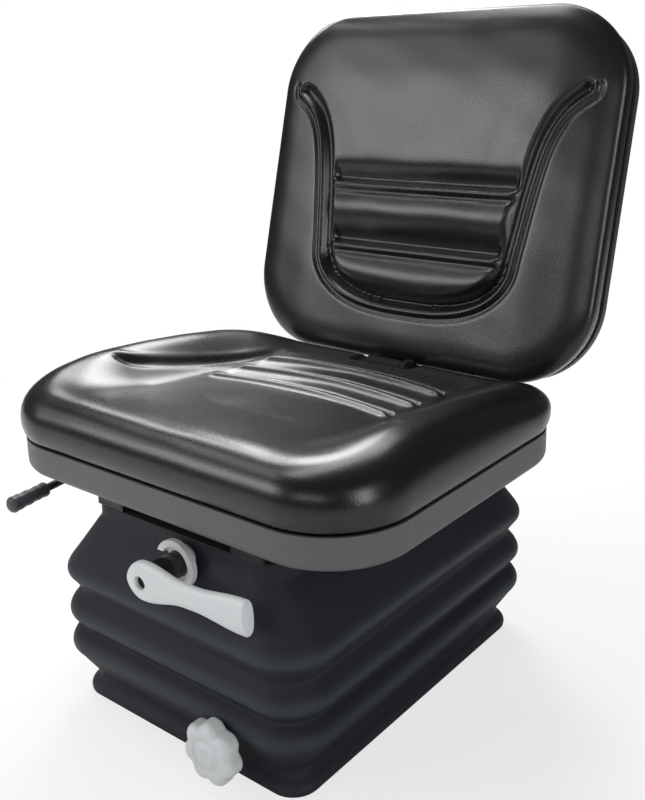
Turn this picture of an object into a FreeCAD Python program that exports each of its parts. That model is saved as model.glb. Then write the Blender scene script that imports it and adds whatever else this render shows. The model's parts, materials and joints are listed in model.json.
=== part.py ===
import FreeCAD, Part
import math
import os
import re
import Sketcher

# Suspension seat: scissor suspension under a bellows, slide rails, pan, cushion and backrest.
# Millimetres. Origin at the centre of the base's underside, +Z up, the sitter faces -Y.

Vector = FreeCAD.Vector
doc = FreeCAD.newDocument("SuspensionSeat")
sheet = doc.addObject("Spreadsheet::Sheet", "Sizes")

SIZES = [
    # Base tray and its mounting holes
    ("base_width", 308.0), ("base_depth", 399.5), ("base_corner", 25.0), ("tray_height", 7.0),
    ("plate", 2.5), ("bolt_spacing_x", 210.0), ("bolt_spacing_y", 260.0), ("bolt_hole", 9.0),
    # Scissor linkage
    ("pivot_front_y", -135.0), ("pivot_rear_y", 135.0), ("pivot_low_z", 35.0), ("pivot_drop", 26.0),
    ("arm_plate", 4.0), ("arm_width", 28.0), ("outer_arm_x", 98.0), ("inner_arm_x", 89.0),
    ("pin_diameter", 12.0), ("running_gap", 0.05), ("open_gap", 1.0), ("cross_tube", 18.0),
    ("cross_tube_reach", 262.0), ("side_gap", 1.5),
    # Rollers and their tracks
    ("roller_diameter", 24.0), ("roller_width", 9.0), ("roller_inner_x", 103.5), ("track_gap", 1.6),
    ("track_length", 86.0), ("track_front_y", 92.0),
    # Travel buffers
    ("travel", 60.0), ("buffer_diameter", 30.0), ("buffer_height", 50.0), ("buffer_y", -28.0),
    # Upper frame
    ("upper_width", 252.0), ("upper_depth", 378.0), ("upper_corner", 26.0), ("upper_top_z", 228.0),
    ("skirt_height", 20.0),
    # Bellows, outer sizes
    ("bellows_wall", 2.4), ("bellows_gap", 0.4), ("tip_width", 346.7), ("tip_depth", 440.3),
    ("tip_corner", 49.0), ("fold_one_z", 149.3), ("fold_two_z", 102.2), ("fold_three_z", 64.6),
    ("fold_lip", 7.5), ("valley_inset", 13.0), ("neck_inset", 25.0), ("neck_z", 23.0),
    ("lip_height", 8.0), ("collar_height", 16.0),
    # Weight adjuster: crank, spindle, yoke and springs
    ("crank_x", 15.0), ("crank_drop", 24.0), ("crank_plate_inset", 5.0), ("spindle_diameter", 12.0),
    ("spindle_reach", 96.0), ("bezel_outer", 50.0), ("bezel_inner", 36.0), ("bezel_stand", 24.0),
    ("bezel_slot", 20.0), ("hub_diameter", 26.0), ("handle_stand", 68.0), ("handle_thick", 15.0),
    ("handle_reach", 125.0), ("handle_rise", 6.0), ("handle_root", 19.5), ("handle_tip", 17.0),
    ("handle_waist", 11.5), ("handle_socket", 13.0), ("yoke_reach", 64.0), ("yoke_height", 26.0),
    ("yoke_depth", 14.0), ("spring_x", 52.0), ("spring_outer", 30.0), ("spring_wire", 4.0),
    ("spring_turns", 14.0), ("spring_length", 150.0), ("spring_lead", 24.0),
    ("crank_bolt", 8.0), ("crank_bolt_length", 22.0), ("handle_socket_depth", 9.0), ("seat_gap", 0.3),
    # Height knob, its spindle and stop
    ("knob_x", 80.0), ("knob_z", 43.0), ("knob_diameter", 64.0), ("knob_thick", 20.0),
    ("knob_stand", 2.85), ("knob_lobes", 7.0), ("knob_notch", 7.0), ("knob_round", 5.0),
    ("knob_spindle", 10.0),
    ("knob_spindle_reach", 68.0), ("knob_plate_inset", 13.75), ("stop_lead", 10.0),
    ("stop_length", 24.0), ("stop_width", 24.0), ("stop_height", 50.0),
    # Damper
    ("damper_x", -86.0), ("damper_inset", 22.0), ("damper_low_z", 17.0), ("damper_drop", 22.0),
    ("damper_tube", 28.0), ("damper_tube_length", 104.0), ("damper_rod", 10.0), ("damper_eye", 20.0),
    ("damper_eye_width", 12.0), ("damper_pin", 8.0), ("damper_rod_below", 50.0),
    # Slide rails
    ("rail_x", 95.0), ("rail_length", 340.0), ("rail_front_y", -192.0), ("rail_width", 38.0),
    ("rail_height", 17.0), ("rail_wall", 2.5), ("rail_slot", 15.0), ("rail_gap", 0.4),
    ("rail_web", 9.0), ("pan_bolt_front", 40.0), ("pan_bolt_rear", 50.0),
    # Seat pan and cushion
    ("pan_width", 480.0), ("pan_depth", 401.0), ("pan_corner", 85.0), ("pan_centre_y", -25.0),
    ("rail_stack", 27.0), ("pan_height", 33.5), ("pan_wall", 3.0), ("pan_round", 9.0),
    ("seam_gap", 3.0), ("seat_side_height", 63.5), ("seat_rear_drop", 33.0), ("seat_front_drop", 9.0),
    ("seat_dish", 32.0), ("dish_inner_x", 125.0), ("dish_outer_x", 206.0), ("side_widest", 16.0),
    ("roll_width", 46.0), ("roll_bulge", 4.0), ("soft_gap", 0.4), ("notch_width", 84.0),
    ("notch_depth", 26.0), ("groove_radius", 6.5), ("groove_lift", 1.0), ("ridge_count", 3.0),
    ("ridge_half", 122.0), ("ridge_first_y", -5.0), ("ridge_pitch", 48.5), ("ridge_bow", 20.0),
    ("crease_front_x", 174.0), ("crease_front_y", -96.0), ("crease_rear_x", 132.0), ("crease_rear_y", 124.0),
    # Slide lever
    ("lever_rod", 9.0), ("lever_pivot_y", -70.0), ("lever_pivot_x", -126.0), ("lever_rise", 7.0),
    ("grip_diameter", 17.0), ("grip_length", 50.0), ("grip_x", -214.0), ("grip_rear_y", -186.0),
    ("grip_drop", 12.0), ("lever_outer_y", -140.0),
    # Backrest
    ("back_width", 481.0), ("back_height", 431.5), ("back_corner", 99.0), ("recline", 14.8),
    ("face_behind", 10.6), ("face_above", 2.2), ("back_crown", 15.0), ("back_pad", 42.0),
    ("shell_gap", 3.0), ("shell_depth", 26.0), ("shell_inset", 4.0), ("shell_taper", 34.0),
    ("shell_wall", 3.0), ("knuckle_inset", 8.5), ("knuckle_rise", 51.0), ("knuckle_radius", 9.0),
    ("knuckle_width", 40.0), ("ear_width", 8.0), ("ear_gap", 0.5), ("bracket_width", 240.0),
    ("bracket_plate", 4.0), ("strap_height", 130.0), ("strap_width", 150.0),
    ("hinge_pin", 10.0), ("bracket_rise", 48.0), ("bolt_head", 13.0), ("bolt_head_height", 5.0),
    ("strap_bolt_inset", 20.0), ("strap_bolt_low", 45.0), ("strap_bolt_drop", 30.0),
    ("u_top_x", 196.0), ("u_top_up", 334.0), ("u_side_x", 141.0), ("u_side_up", 221.0),
    ("u_low_x", 129.5), ("u_low_up", 135.0), ("u_bottom_up", 73.0),
]

# Places that follow from the sizes, each as a sum of factor times size
PLACES = {
    "pan_bottom_z": ((1, "upper_top_z"), (1, "rail_stack")),
    "pivot_top_z": ((1, "upper_top_z"), (-1, "pivot_drop")),
    "crank_z": ((1, "upper_top_z"), (-1, "crank_drop")),
    "damper_top_z": ((1, "upper_top_z"), (-1, "damper_drop")),
    "lever_z": ((1, "upper_top_z"), (1, "lever_rise")),
    "grip_z": ((1, "upper_top_z"), (-1, "grip_drop")),
    "knuckle_z": ((1, "pan_bottom_z"), (1, "knuckle_rise")),
    "bracket_top_z": ((1, "pan_bottom_z"), (1, "bracket_rise")),
    "back_face_z": ((1, "knuckle_z"), (1, "face_above")),
    "knuckle_y": ((1, "pan_centre_y"), (0.5, "pan_depth"), (-1, "knuckle_inset")),
    "back_face_y": ((1, "knuckle_y"), (1, "face_behind")),
    "crank_plate_y": ((-0.5, "upper_depth"), (1, "crank_plate_inset")),
    "bezel_front_y": ((1, "crank_plate_y"), (-1, "bezel_stand")),
    "handle_front_y": ((1, "crank_plate_y"), (-1, "handle_stand")),
    "spindle_end_y": ((1, "crank_plate_y"), (1, "spindle_reach")),
    "yoke_y": ((1, "crank_plate_y"), (1, "yoke_reach")),
    "spring_front_y": ((1, "yoke_y"), (1, "spring_lead")),
    "damper_y": ((-0.5, "upper_depth"), (1, "damper_inset")),
    "knob_plate_y": ((-0.5, "base_depth"), (1, "knob_plate_inset")),
    "knob_back_y": ((-0.5, "tip_depth"), (-1, "knob_stand")),
    "knob_spindle_end_y": ((1, "knob_plate_y"), (1, "knob_spindle_reach")),
    "stop_y": ((1, "knob_plate_y"), (1, "stop_lead")),
}


def whole_words(names):
    longest_first = sorted(names, key=len, reverse=True)
    return re.compile(r"(?<![A-Za-z_.])(" + "|".join(longest_first) + r")(?![A-Za-z_])")


SIZE_WORDS = whole_words([name for name, _ in SIZES])
PLACE_WORDS = whole_words(PLACES)

for row, (alias, number) in enumerate(SIZES, start=1):
    sheet.set("A%d" % row, alias)
    sheet.set("B%d" % row, repr(number))
    sheet.setAlias("B%d" % row, alias)
doc.recompute()


class Values:
    """The sheet's numbers and the places that follow from them, read by name."""

    def __getattr__(self, alias):
        if alias in PLACES:
            return sum(factor * getattr(self, name) for factor, name in PLACES[alias])
        return float(getattr(sheet, alias))


size = Values()


def spelled_out(match):
    return "(" + " + ".join("(%s) * %s" % term for term in PLACES[match.group(1)]) + ")"


def bound(text):
    """An expression in which each place is written out and each size's name points at its cell."""
    text = str(text)
    while PLACE_WORDS.search(text):
        text = PLACE_WORDS.sub(spelled_out, text)
    return SIZE_WORDS.sub(r"Sizes.\1", text)


def bind(piece, **expressions):
    for name, text in expressions.items():
        piece.setExpression(name, bound(text))
    return piece


TURNS = {
    "X": FreeCAD.Rotation(Vector(0, 1, 0), 90),
    "Y": FreeCAD.Rotation(Vector(1, 0, 0), -90),
    "Z": FreeCAD.Rotation(),
}


def place(piece, x, y, z, turn=None):
    if turn is not None:
        piece.Placement = FreeCAD.Placement(Vector(), turn)
    for axis, text in zip("xyz", (x, y, z)):
        piece.setExpression("Placement.Base." + axis, bound(text))
    return piece


def box(name, length, width, height, x, y, z):
    piece = doc.addObject("Part::Box", name)
    bind(piece, Length=length, Width=width, Height=height)
    return place(piece, x, y, z)


def rod(name, diameter, length, x, y, z, axis="Z"):
    piece = doc.addObject("Part::Cylinder", name)
    bind(piece, Radius="(%s) / 2" % diameter, Height=length)
    return place(piece, x, y, z, TURNS[axis])


def join(name, *pieces):
    piece = doc.addObject("Part::MultiFuse", name)
    piece.Shapes = list(pieces)
    piece.Refine = True
    return piece


def cut(name, base, *tools):
    tool = tools[0] if len(tools) == 1 else join(name + "_cuts", *tools)
    piece = doc.addObject("Part::Cut", name)
    piece.Base = base
    piece.Tool = tool
    return piece


def mirrored(name, source):
    piece = doc.addObject("Part::Mirroring", name)
    piece.Source = source
    piece.Normal = Vector(1, 0, 0)
    return piece


def both_sides(name, piece):
    """The piece and its mirror image across the middle plane, as two solids in one node."""
    pair = doc.addObject("Part::Compound", name)
    pair.Links = [piece, mirrored(name + "_other", piece)]
    return pair


def plane(body, role):
    return next(f for f in body.Origin.OriginFeatures if f.Role == role)


def sketch_on(body, name, role, height=None):
    sketch = body.newObject("Sketcher::SketchObject", name)
    sketch.AttachmentSupport = [(plane(body, role), "")]
    sketch.MapMode = "FlatFace"
    if height is not None:
        sketch.setExpression("AttachmentOffset.Base.z", bound(height))
    return sketch


def size_constraint(sketch, constraint, text):
    index = sketch.addConstraint(constraint)
    sketch.setExpression("Constraints[%d]" % index, bound(text))


def draw_circle(sketch, diameter, x="0", y="0"):
    circle = sketch.addGeometry(Part.Circle(Vector(1, 1, 0), Vector(0, 0, 1), 5), False)
    size_constraint(sketch, Sketcher.Constraint("Diameter", circle, 10), diameter)
    for kind, text in (("DistanceX", x), ("DistanceY", y)):
        size_constraint(sketch, Sketcher.Constraint(kind, -1, 1, circle, 3, 1.0), text)
    return circle


def draw_rounded(sketch, width, depth, corner, centre_y="0"):
    """A rectangle with four equal round corners, centred on the sketch's vertical axis."""
    corners = [(1, 1), (-1, 1), (-1, -1), (1, -1)]
    arcs = []
    for turn, (sx, sy) in enumerate(corners):
        circle = Part.Circle(Vector(60 * sx, 60 * sy, 0), Vector(0, 0, 1), 10)
        start = turn * math.pi / 2
        arcs.append(sketch.addGeometry(Part.ArcOfCircle(circle, start, start + math.pi / 2), False))
    lines = []
    for turn in range(4):
        here, following = corners[turn], corners[(turn + 1) % 4]
        if turn % 2 == 0:
            ends = [Vector(60 * p[0], 60 * p[1] + 10 * here[1], 0) for p in (here, following)]
        else:
            ends = [Vector(60 * p[0] + 10 * here[0], 60 * p[1], 0) for p in (here, following)]
        lines.append(sketch.addGeometry(Part.LineSegment(*ends), False))
    for turn in range(4):
        following = (turn + 1) % 4
        sketch.addConstraint(Sketcher.Constraint("Tangent", arcs[turn], 2, lines[turn], 1))
        sketch.addConstraint(Sketcher.Constraint("Tangent", lines[turn], 2, arcs[following], 1))
    for turn in range(3):
        sketch.addConstraint(Sketcher.Constraint("Equal", arcs[turn], arcs[turn + 1]))
    for turn, line in enumerate(lines):
        sketch.addConstraint(Sketcher.Constraint("Vertical" if turn % 2 else "Horizontal", line))
    size_constraint(sketch, Sketcher.Constraint("Radius", arcs[0], 10), corner)
    across = "(%s) / 2 - (%s)" % (width, corner)
    along = "(%s) / 2 - (%s)" % (depth, corner)
    size_constraint(sketch, Sketcher.Constraint("DistanceX", -1, 1, arcs[0], 3, 60), across)
    size_constraint(sketch, Sketcher.Constraint("DistanceX", -1, 1, arcs[1], 3, -60), "0 - (%s)" % across)
    upper, lower = "(%s) + %s" % (along, centre_y), "%s - (%s)" % (centre_y, along)
    size_constraint(sketch, Sketcher.Constraint("DistanceY", -1, 1, arcs[0], 3, 60), upper)
    size_constraint(sketch, Sketcher.Constraint("DistanceY", -1, 1, arcs[3], 3, -60), lower)


def pad(body, name, sketch, length, reverse=False):
    feature = body.newObject("PartDesign::Pad", name)
    feature.Profile = sketch
    feature.Reversed = reverse
    bind(feature, Length=length)
    doc.recompute()
    return feature


def pocket(body, name, sketch, length, reverse=False):
    before = body.Shape.Volume
    feature = body.newObject("PartDesign::Pocket", name)
    feature.Profile = sketch
    feature.Reversed = reverse
    bind(feature, Length=length)
    doc.recompute()
    if body.Shape.Volume > before - 1.0:
        raise RuntimeError(name + " cuts nothing")
    return feature


def fillet(body, name, base, radius, chosen):
    """Rounds the edges of the base that the test chooses."""
    edges = [i for i, e in enumerate(base.Shape.Edges, start=1) if chosen(e)]
    feature = body.newObject("PartDesign::Fillet", name)
    feature.Base = (base, ["Edge%d" % i for i in edges])
    bind(feature, Radius=radius)
    doc.recompute()
    return feature


def feature(name, shape):
    piece = doc.addObject("Part::Feature", name)
    piece.Shape = shape
    return piece


def at_height(edge, z):
    return abs(edge.BoundBox.ZMin - z) < 0.01 and abs(edge.BoundBox.ZMax - z) < 0.01


def new_body(name):
    return doc.addObject("PartDesign::Body", name)


# Base tray: a pressed floor with an upstand, four mounting holes and two pairs of hinge lugs
def base_frame():
    tray = new_body("base_tray")
    floor = sketch_on(tray, "tray_outline", "XY_Plane")
    draw_rounded(floor, "base_width", "base_depth", "base_corner")
    pad(tray, "tray_block", floor, "tray_height")
    inside = sketch_on(tray, "tray_inside", "XY_Plane", "plate")
    draw_rounded(inside, "base_width - 2 * plate", "base_depth - 2 * plate", "base_corner - plate")
    pocket(tray, "tray_hollow", inside, "tray_height", True)
    holes = sketch_on(tray, "tray_holes", "XY_Plane")
    for sx in ("-", ""):
        for sy in ("-", ""):
            draw_circle(holes, "bolt_hole", sx + "bolt_spacing_x / 2", sy + "bolt_spacing_y / 2")
    pocket(tray, "tray_bolt_holes", holes, "plate", True)
    lug_x = "outer_arm_x + arm_plate / 2 + side_gap"
    lug = box("base_lug", "plate * 1.4", "30", "pivot_low_z + 15 - plate", lug_x,
              "pivot_front_y - 15", "plate")
    knob_plate = box("knob_plate", "54", "plate", "knob_z + 18 - plate", "knob_x - 27",
                     "knob_plate_y", "plate")
    knob_hole = rod("knob_plate_hole", "knob_spindle + 6", "plate + 2", "knob_x",
                    "knob_plate_y - 1", "knob_z", "Y")
    ears = damper_ears("damper_base_ear", "plate", "damper_low_z + 7 - plate")
    welded = join("base_welded", tray, lug, mirrored("base_lug_other", lug),
                  cut("knob_plate_bored", knob_plate, knob_hole), *ears)
    pins = rod("base_pin_bore", "pin_diameter", "2 * outer_arm_x + 60", "-outer_arm_x - 30",
               "pivot_front_y", "pivot_low_z", "X")
    damper_bore = rod("base_damper_bore", "damper_pin", "50", "damper_x - 25", "damper_y",
                      "damper_low_z", "X")
    return cut("base_frame", welded, pins, damper_bore)


def track(name, low_z, web_low, web_height):
    """A C-shaped roller track: a web outside the roller with a flange above and below it."""
    inner_x = "roller_inner_x"
    web_x = "roller_inner_x + roller_width + track_gap"
    half = "(roller_diameter / 2 + track_gap / 2)"
    web = box(name + "_web", "plate", "track_length", web_height, web_x, "track_front_y", web_low)
    lower = box(name + "_lower", "roller_width + track_gap + plate", "track_length", "plate",
                inner_x, "track_front_y", "%s - %s - plate" % (low_z, half))
    upper = box(name + "_upper", "roller_width + track_gap + plate", "track_length", "plate",
                inner_x, "track_front_y", "%s + %s" % (low_z, half))
    return both_sides(name, join(name + "_side", web, lower, upper))


def pin_pair(name, inner_x, outer_x, y, z):
    """Two headed hinge pins, one each side, with their heads outside the lugs."""
    shank = rod(name + "_shank", "pin_diameter", "%s - (%s)" % (outer_x, inner_x), inner_x, y, z, "X")
    head = rod(name + "_head", "pin_diameter + 6", "3", outer_x, y, z, "X")
    return both_sides(name, join(name + "_side", shank, head))


def scissor_frame(name, arm_x, front_z, rear_z, tube_from_front, front_bore, rear_bore):
    """Two arm plates with round ends and a tube welded across, in their own frame along +Y."""
    span = "(pivot_rear_y - pivot_front_y)"
    reach = "sqrt(%s ^ 2 + (pivot_top_z - pivot_low_z) ^ 2)" % span
    plate_box = box(name + "_plate", "arm_plate", reach, "arm_width", "%s - arm_plate / 2" % arm_x,
                    "0", "-arm_width / 2")
    ends = [
        rod("%s_end_%d" % (name, i), "arm_width", "arm_plate", "%s - arm_plate / 2" % arm_x, y, "0", "X")
        for i, y in enumerate(("0", reach))
    ]
    side = join(name + "_arm", plate_box, *ends)
    tube_y = tube_from_front
    tube = rod(name + "_tube", "cross_tube", "2 * %s" % arm_x, "-%s" % arm_x, tube_y, "0", "X")
    bore = rod(name + "_tube_bore", "cross_tube - 2 * plate", "2 * %s + 20" % arm_x,
               "-%s - 10" % arm_x, tube_y, "0", "X")
    whole = join(name + "_welded", side, mirrored(name + "_arm_other", side), tube)
    bores = [bore]
    spots = (("0", front_bore), (reach + " / 2", "centre"), (reach, rear_bore))
    for i, (y, fit) in enumerate(spots):
        extra = {"running": "2 * running_gap", "firm": "0", "open": "2 * open_gap"}
        kind = fit if fit != "centre" else ("firm" if name == "outer_scissor_arms" else "open")
        bores.append(rod("%s_bore_%d" % (name, i), "pin_diameter + " + extra[kind],
                         "2 * %s + 20" % arm_x, "-%s - 10" % arm_x, y, "0", "X"))
    frame = cut(name, whole, *bores)
    rise = "atan((%s - %s) / %s)" % (rear_z, front_z, span)
    frame.Placement = FreeCAD.Placement(Vector(), FreeCAD.Rotation(Vector(1, 0, 0), 10))
    place(frame, "0", "pivot_front_y", front_z)
    frame.setExpression("Placement.Rotation.Angle", bound(rise))
    return frame


def rollers(name, z):
    body = rod(name + "_tread", "roller_diameter", "roller_width", "roller_inner_x", "pivot_rear_y", z, "X")
    bore = rod(name + "_bore", "pin_diameter + 2 * running_gap", "roller_width + 4",
               "roller_inner_x - 2", "pivot_rear_y", z, "X")
    return both_sides(name, cut(name + "_side", body, bore))


# Upper frame: an inverted tray that carries the rails, hinge lugs and the crank's plate
def upper_frame():
    tray = new_body("upper_tray")
    outline = sketch_on(tray, "upper_outline", "XY_Plane", "upper_top_z - skirt_height")
    draw_rounded(outline, "upper_width", "upper_depth", "upper_corner")
    pad(tray, "upper_block", outline, "skirt_height")
    inside = sketch_on(tray, "upper_inside", "XY_Plane", "upper_top_z - plate")
    draw_rounded(inside, "upper_width - 2 * plate", "upper_depth - 2 * plate", "upper_corner - plate")
    pocket(tray, "upper_hollow", inside, "skirt_height")
    window = sketch_on(tray, "upper_window", "XY_Plane", "upper_top_z")
    draw_rounded(window, "2 * rail_x - rail_width - 30", "upper_depth / 3", "upper_corner")
    pocket(tray, "upper_lightening", window, "plate * 1.2")
    lug_x = "inner_arm_x + arm_plate / 2 + side_gap"
    lug_low = "(pivot_top_z - 14)"
    lug = box("upper_lug", "plate * 1.4", "30", "upper_top_z - plate / 2 - %s" % lug_low, lug_x,
              "pivot_front_y - 15", lug_low)
    crank_low = "(crank_z - 17)"
    crank_plate = box("crank_plate", "46", "plate", "upper_top_z - plate / 2 - %s" % crank_low,
                      "crank_x - 23", "crank_plate_y", crank_low)
    ears = damper_ears("damper_upper_ear", "damper_top_z - 8",
                       "upper_top_z - plate / 2 - damper_top_z + 8")
    welded = join("upper_welded", tray, lug, mirrored("upper_lug_other", lug), crank_plate, *ears)
    bores = [
        rod("upper_pin_bore", "pin_diameter", "2 * inner_arm_x + 60", "-inner_arm_x - 30",
            "pivot_front_y", "pivot_top_z", "X"),
        rod("upper_damper_bore", "damper_pin", "50", "damper_x - 25", "damper_y", "damper_top_z",
            "X"),
        rod("upper_crank_bore", "spindle_diameter + 8", "40", "crank_x", "crank_plate_y - 15",
            "crank_z", "Y"),
        rod("upper_bezel_bore", "bezel_inner - 4", "10", "crank_x", "crank_plate_y - 10", "crank_z",
            "Y"),
    ]
    return cut("upper_frame", welded, *bores)


def rounded_wire(width, depth, corner, z, centre_y=0.0):
    """Four straight sides and four quarter circles, at one height."""
    x, y, r = width / 2, depth / 2, corner
    k = r * (1 - math.sqrt(0.5))
    edges = []
    for sx, sy in ((1, 1), (-1, 1), (-1, -1), (1, -1)):
        first = Vector(sx * x, sy * (y - r), 0)
        middle = Vector(sx * (x - k), sy * (y - k), 0)
        last = Vector(sx * (x - r), sy * y, 0)
        ends = (first, middle, last) if sx * sy > 0 else (last, middle, first)
        edges.append(Part.Arc(*ends).toShape())
    sides = []
    for i, arc in enumerate(edges):
        following = edges[(i + 1) % 4]
        start, end = arc.Vertexes[-1].Point, following.Vertexes[0].Point
        sides.append(arc)
        sides.append(Part.LineSegment(start, end).toShape())
    wire = Part.Wire(sides)
    wire.translate(Vector(0, centre_y, z))
    return wire


def stacked(rings):
    """A solid of straight-sided bands between rounded outlines, from the lowest to the highest."""
    return Part.makeLoft([rounded_wire(*ring) for ring in rings], True, True)


def bellows_rings(inward):
    """Outline, corner and height of each crease of the bellows, moved inwards by one wall."""
    tip_x, tip_y, tip_r = size.tip_width, size.tip_depth, size.tip_corner
    foot = size.bellows_gap + size.bellows_wall
    foot_x, foot_y = size.base_width + 2 * foot, size.base_depth + 2 * foot
    top_x, top_y = size.upper_width + 2 * foot, size.upper_depth + 2 * foot
    top_z = size.upper_top_z - 0.3
    rings = []

    def ring(x, y, r, z):
        rings.append((x - 2 * inward, y - 2 * inward, max(r - inward, 6.0), z))

    def inset(d, z):
        ring(tip_x - 2 * d, tip_y - 2 * d, tip_r - 0.9 * d, z)

    ring(foot_x, foot_y, size.base_corner + foot, 0.5 if inward == 0 else -2.0)
    ring(foot_x, foot_y, size.base_corner + foot, size.lip_height)
    inset(size.neck_inset, size.neck_z - 6)
    inset(size.neck_inset, size.neck_z + 2)
    for fold, z in enumerate((size.fold_three_z, size.fold_two_z, size.fold_one_z)):
        lip = size.fold_lip
        inset(3.2, z - lip)
        inset(0.6, z - lip / 2)
        inset(0.0, z)
        inset(0.9, z + lip / 2)
        if fold < 2:
            upper = (size.fold_two_z, size.fold_one_z)[fold]
            inset(4.0, z + lip)
            inset(size.valley_inset, z + (upper - z) * 0.46)
        else:
            inset(3.4, z + lip)
    ring(top_x, top_y, size.upper_corner + foot, top_z - size.collar_height)
    ring(top_x, top_y, size.upper_corner + foot, top_z if inward == 0 else top_z + 3.0)
    return rings


def bellows():
    shape = stacked(bellows_rings(0.0)).cut(stacked(bellows_rings(size.bellows_wall)))
    front = -size.tip_depth / 2 - 20
    crank = Part.makeCylinder(size.bezel_outer / 2 + 0.5, size.crank_plate_y + 4 - front,
                              Vector(size.crank_x, front, size.crank_z), Vector(0, 1, 0))
    knob = Part.makeCylinder(size.knob_spindle / 2 + 2, size.knob_plate_y + 24 - front,
                             Vector(size.knob_x, front, size.knob_z), Vector(0, 1, 0))
    return feature("bellows", shape.cut(crank).cut(knob))


# Weight adjuster
def crank_bezel():
    """A ring with an opening on one side, on a short sleeve that reaches back to the crank's plate."""
    ring = rod("bezel_ring", "bezel_outer", "6", "crank_x", "bezel_front_y", "crank_z", "Y")
    sleeve = rod("bezel_sleeve", "bezel_inner - 5", "crank_plate_y - bezel_front_y - 6", "crank_x",
                 "bezel_front_y + 6", "crank_z", "Y")
    bore = rod("bezel_bore", "bezel_inner", "12", "crank_x", "bezel_front_y - 8", "crank_z", "Y")
    through = rod("bezel_through", "hub_diameter + 1", "crank_plate_y - bezel_front_y + 20",
                  "crank_x", "bezel_front_y - 10", "crank_z", "Y")
    slot = box("bezel_slot_cut", "bezel_outer / 2 + 2", "7", "bezel_slot",
               "crank_x - bezel_outer / 2 - 2", "bezel_front_y - 1", "crank_z - bezel_slot / 2")
    body = join("bezel_body", ring, sleeve)
    return cut("crank_bezel", body, bore, through, slot)


def crank_hub():
    length = "crank_plate_y - 0.3 - (handle_front_y + handle_thick)"
    body = rod("hub_body", "hub_diameter", length, "crank_x", "handle_front_y + handle_thick",
               "crank_z", "Y")
    bore = rod("hub_bore", "spindle_diameter", "120", "crank_x", "handle_front_y - 5", "crank_z", "Y")
    return cut("crank_hub", body, bore)


def crank_handle():
    """A dog-bone bar: a round root on the hub, a waist with hollowed sides and a flared round tip."""
    root, tip, reach = size.handle_root, size.handle_tip, size.handle_reach
    waist, thick = size.handle_waist, size.handle_thick

    def across(side):
        parts = [(end - waist) * (2 * side + end + waist) for end in (root, tip)]
        return math.sqrt(parts[0]), math.sqrt(parts[1])

    low, high = 1.0, 5000.0
    while high - low > 1e-6:
        side = (low + high) / 2
        low, high = (side, high) if sum(across(side)) < reach else (low, side)
    middle = across(side)[0]
    centre = Vector(middle, 0, side + waist)
    root_x, root_z = middle * root / (side + root), centre.z * root / (side + root)
    tip_x, tip_z = reach - (reach - middle) * tip / (side + tip), centre.z * tip / (side + tip)
    edges = [
        Part.Arc(Vector(root_x, 0, root_z), Vector(-root, 0, 0), Vector(root_x, 0, -root_z)),
        Part.Arc(Vector(root_x, 0, -root_z), Vector(middle, 0, -waist), Vector(tip_x, 0, -tip_z)),
        Part.Arc(Vector(tip_x, 0, -tip_z), Vector(reach + tip, 0, 0), Vector(tip_x, 0, tip_z)),
        Part.Arc(Vector(tip_x, 0, tip_z), Vector(middle, 0, waist), Vector(root_x, 0, root_z)),
    ]
    bar = Part.Face(Part.Wire([edge.toShape() for edge in edges])).extrude(Vector(0, thick, 0))
    rims = [edge for edge in bar.Edges if edge.BoundBox.YLength < 0.01]
    bar = bar.makeFillet(thick / 5, rims)
    socket = Part.makeCylinder(size.handle_socket / 2, size.handle_socket_depth, Vector(), Vector(0, 1, 0))
    bore = Part.makeCylinder(size.crank_bolt / 2, thick, Vector(), Vector(0, 1, 0))
    handle = feature("crank_handle", bar.cut(socket).cut(bore))
    turn = FreeCAD.Rotation(Vector(0, -1, 0), size.handle_rise)
    handle.Placement = FreeCAD.Placement(Vector(size.crank_x, size.handle_front_y, size.crank_z), turn)
    return handle


def crank_spindle():
    """A long screw with a blind hole for the handle's bolt and a collar behind the crank's plate."""
    start = "handle_front_y + handle_thick"
    shank = rod("spindle_shank", "spindle_diameter", "spindle_end_y - (%s)" % start, "crank_x", start,
                "crank_z", "Y")
    collar = rod("spindle_collar", "spindle_diameter + 9", "5", "crank_x",
                 "crank_plate_y + plate + seat_gap", "crank_z", "Y")
    hole = rod("spindle_hole", "crank_bolt", "crank_bolt_length + 2", "crank_x", start, "crank_z", "Y")
    return cut("crank_spindle", join("spindle_turned", shank, collar), hole)


def crank_small_parts():
    bush = rod("bush_body", "spindle_diameter + 8", "plate", "crank_x", "crank_plate_y", "crank_z", "Y")
    bush_bore = rod("bush_bore", "spindle_diameter + 2 * running_gap", "plate + 4", "crank_x",
                    "crank_plate_y - 2", "crank_z", "Y")
    head_y = "handle_front_y + handle_socket_depth - bolt_head_height"
    head = rod("crank_bolt_head", "handle_socket - 1", "bolt_head_height", "crank_x", head_y,
               "crank_z", "Y")
    shank = rod("crank_bolt_shank", "crank_bolt", "handle_thick - handle_socket_depth + crank_bolt_length",
                "crank_x", "handle_front_y + handle_socket_depth", "crank_z", "Y")
    return [cut("crank_bush", bush, bush_bore), join("crank_bolt_piece", head, shank)]


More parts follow.
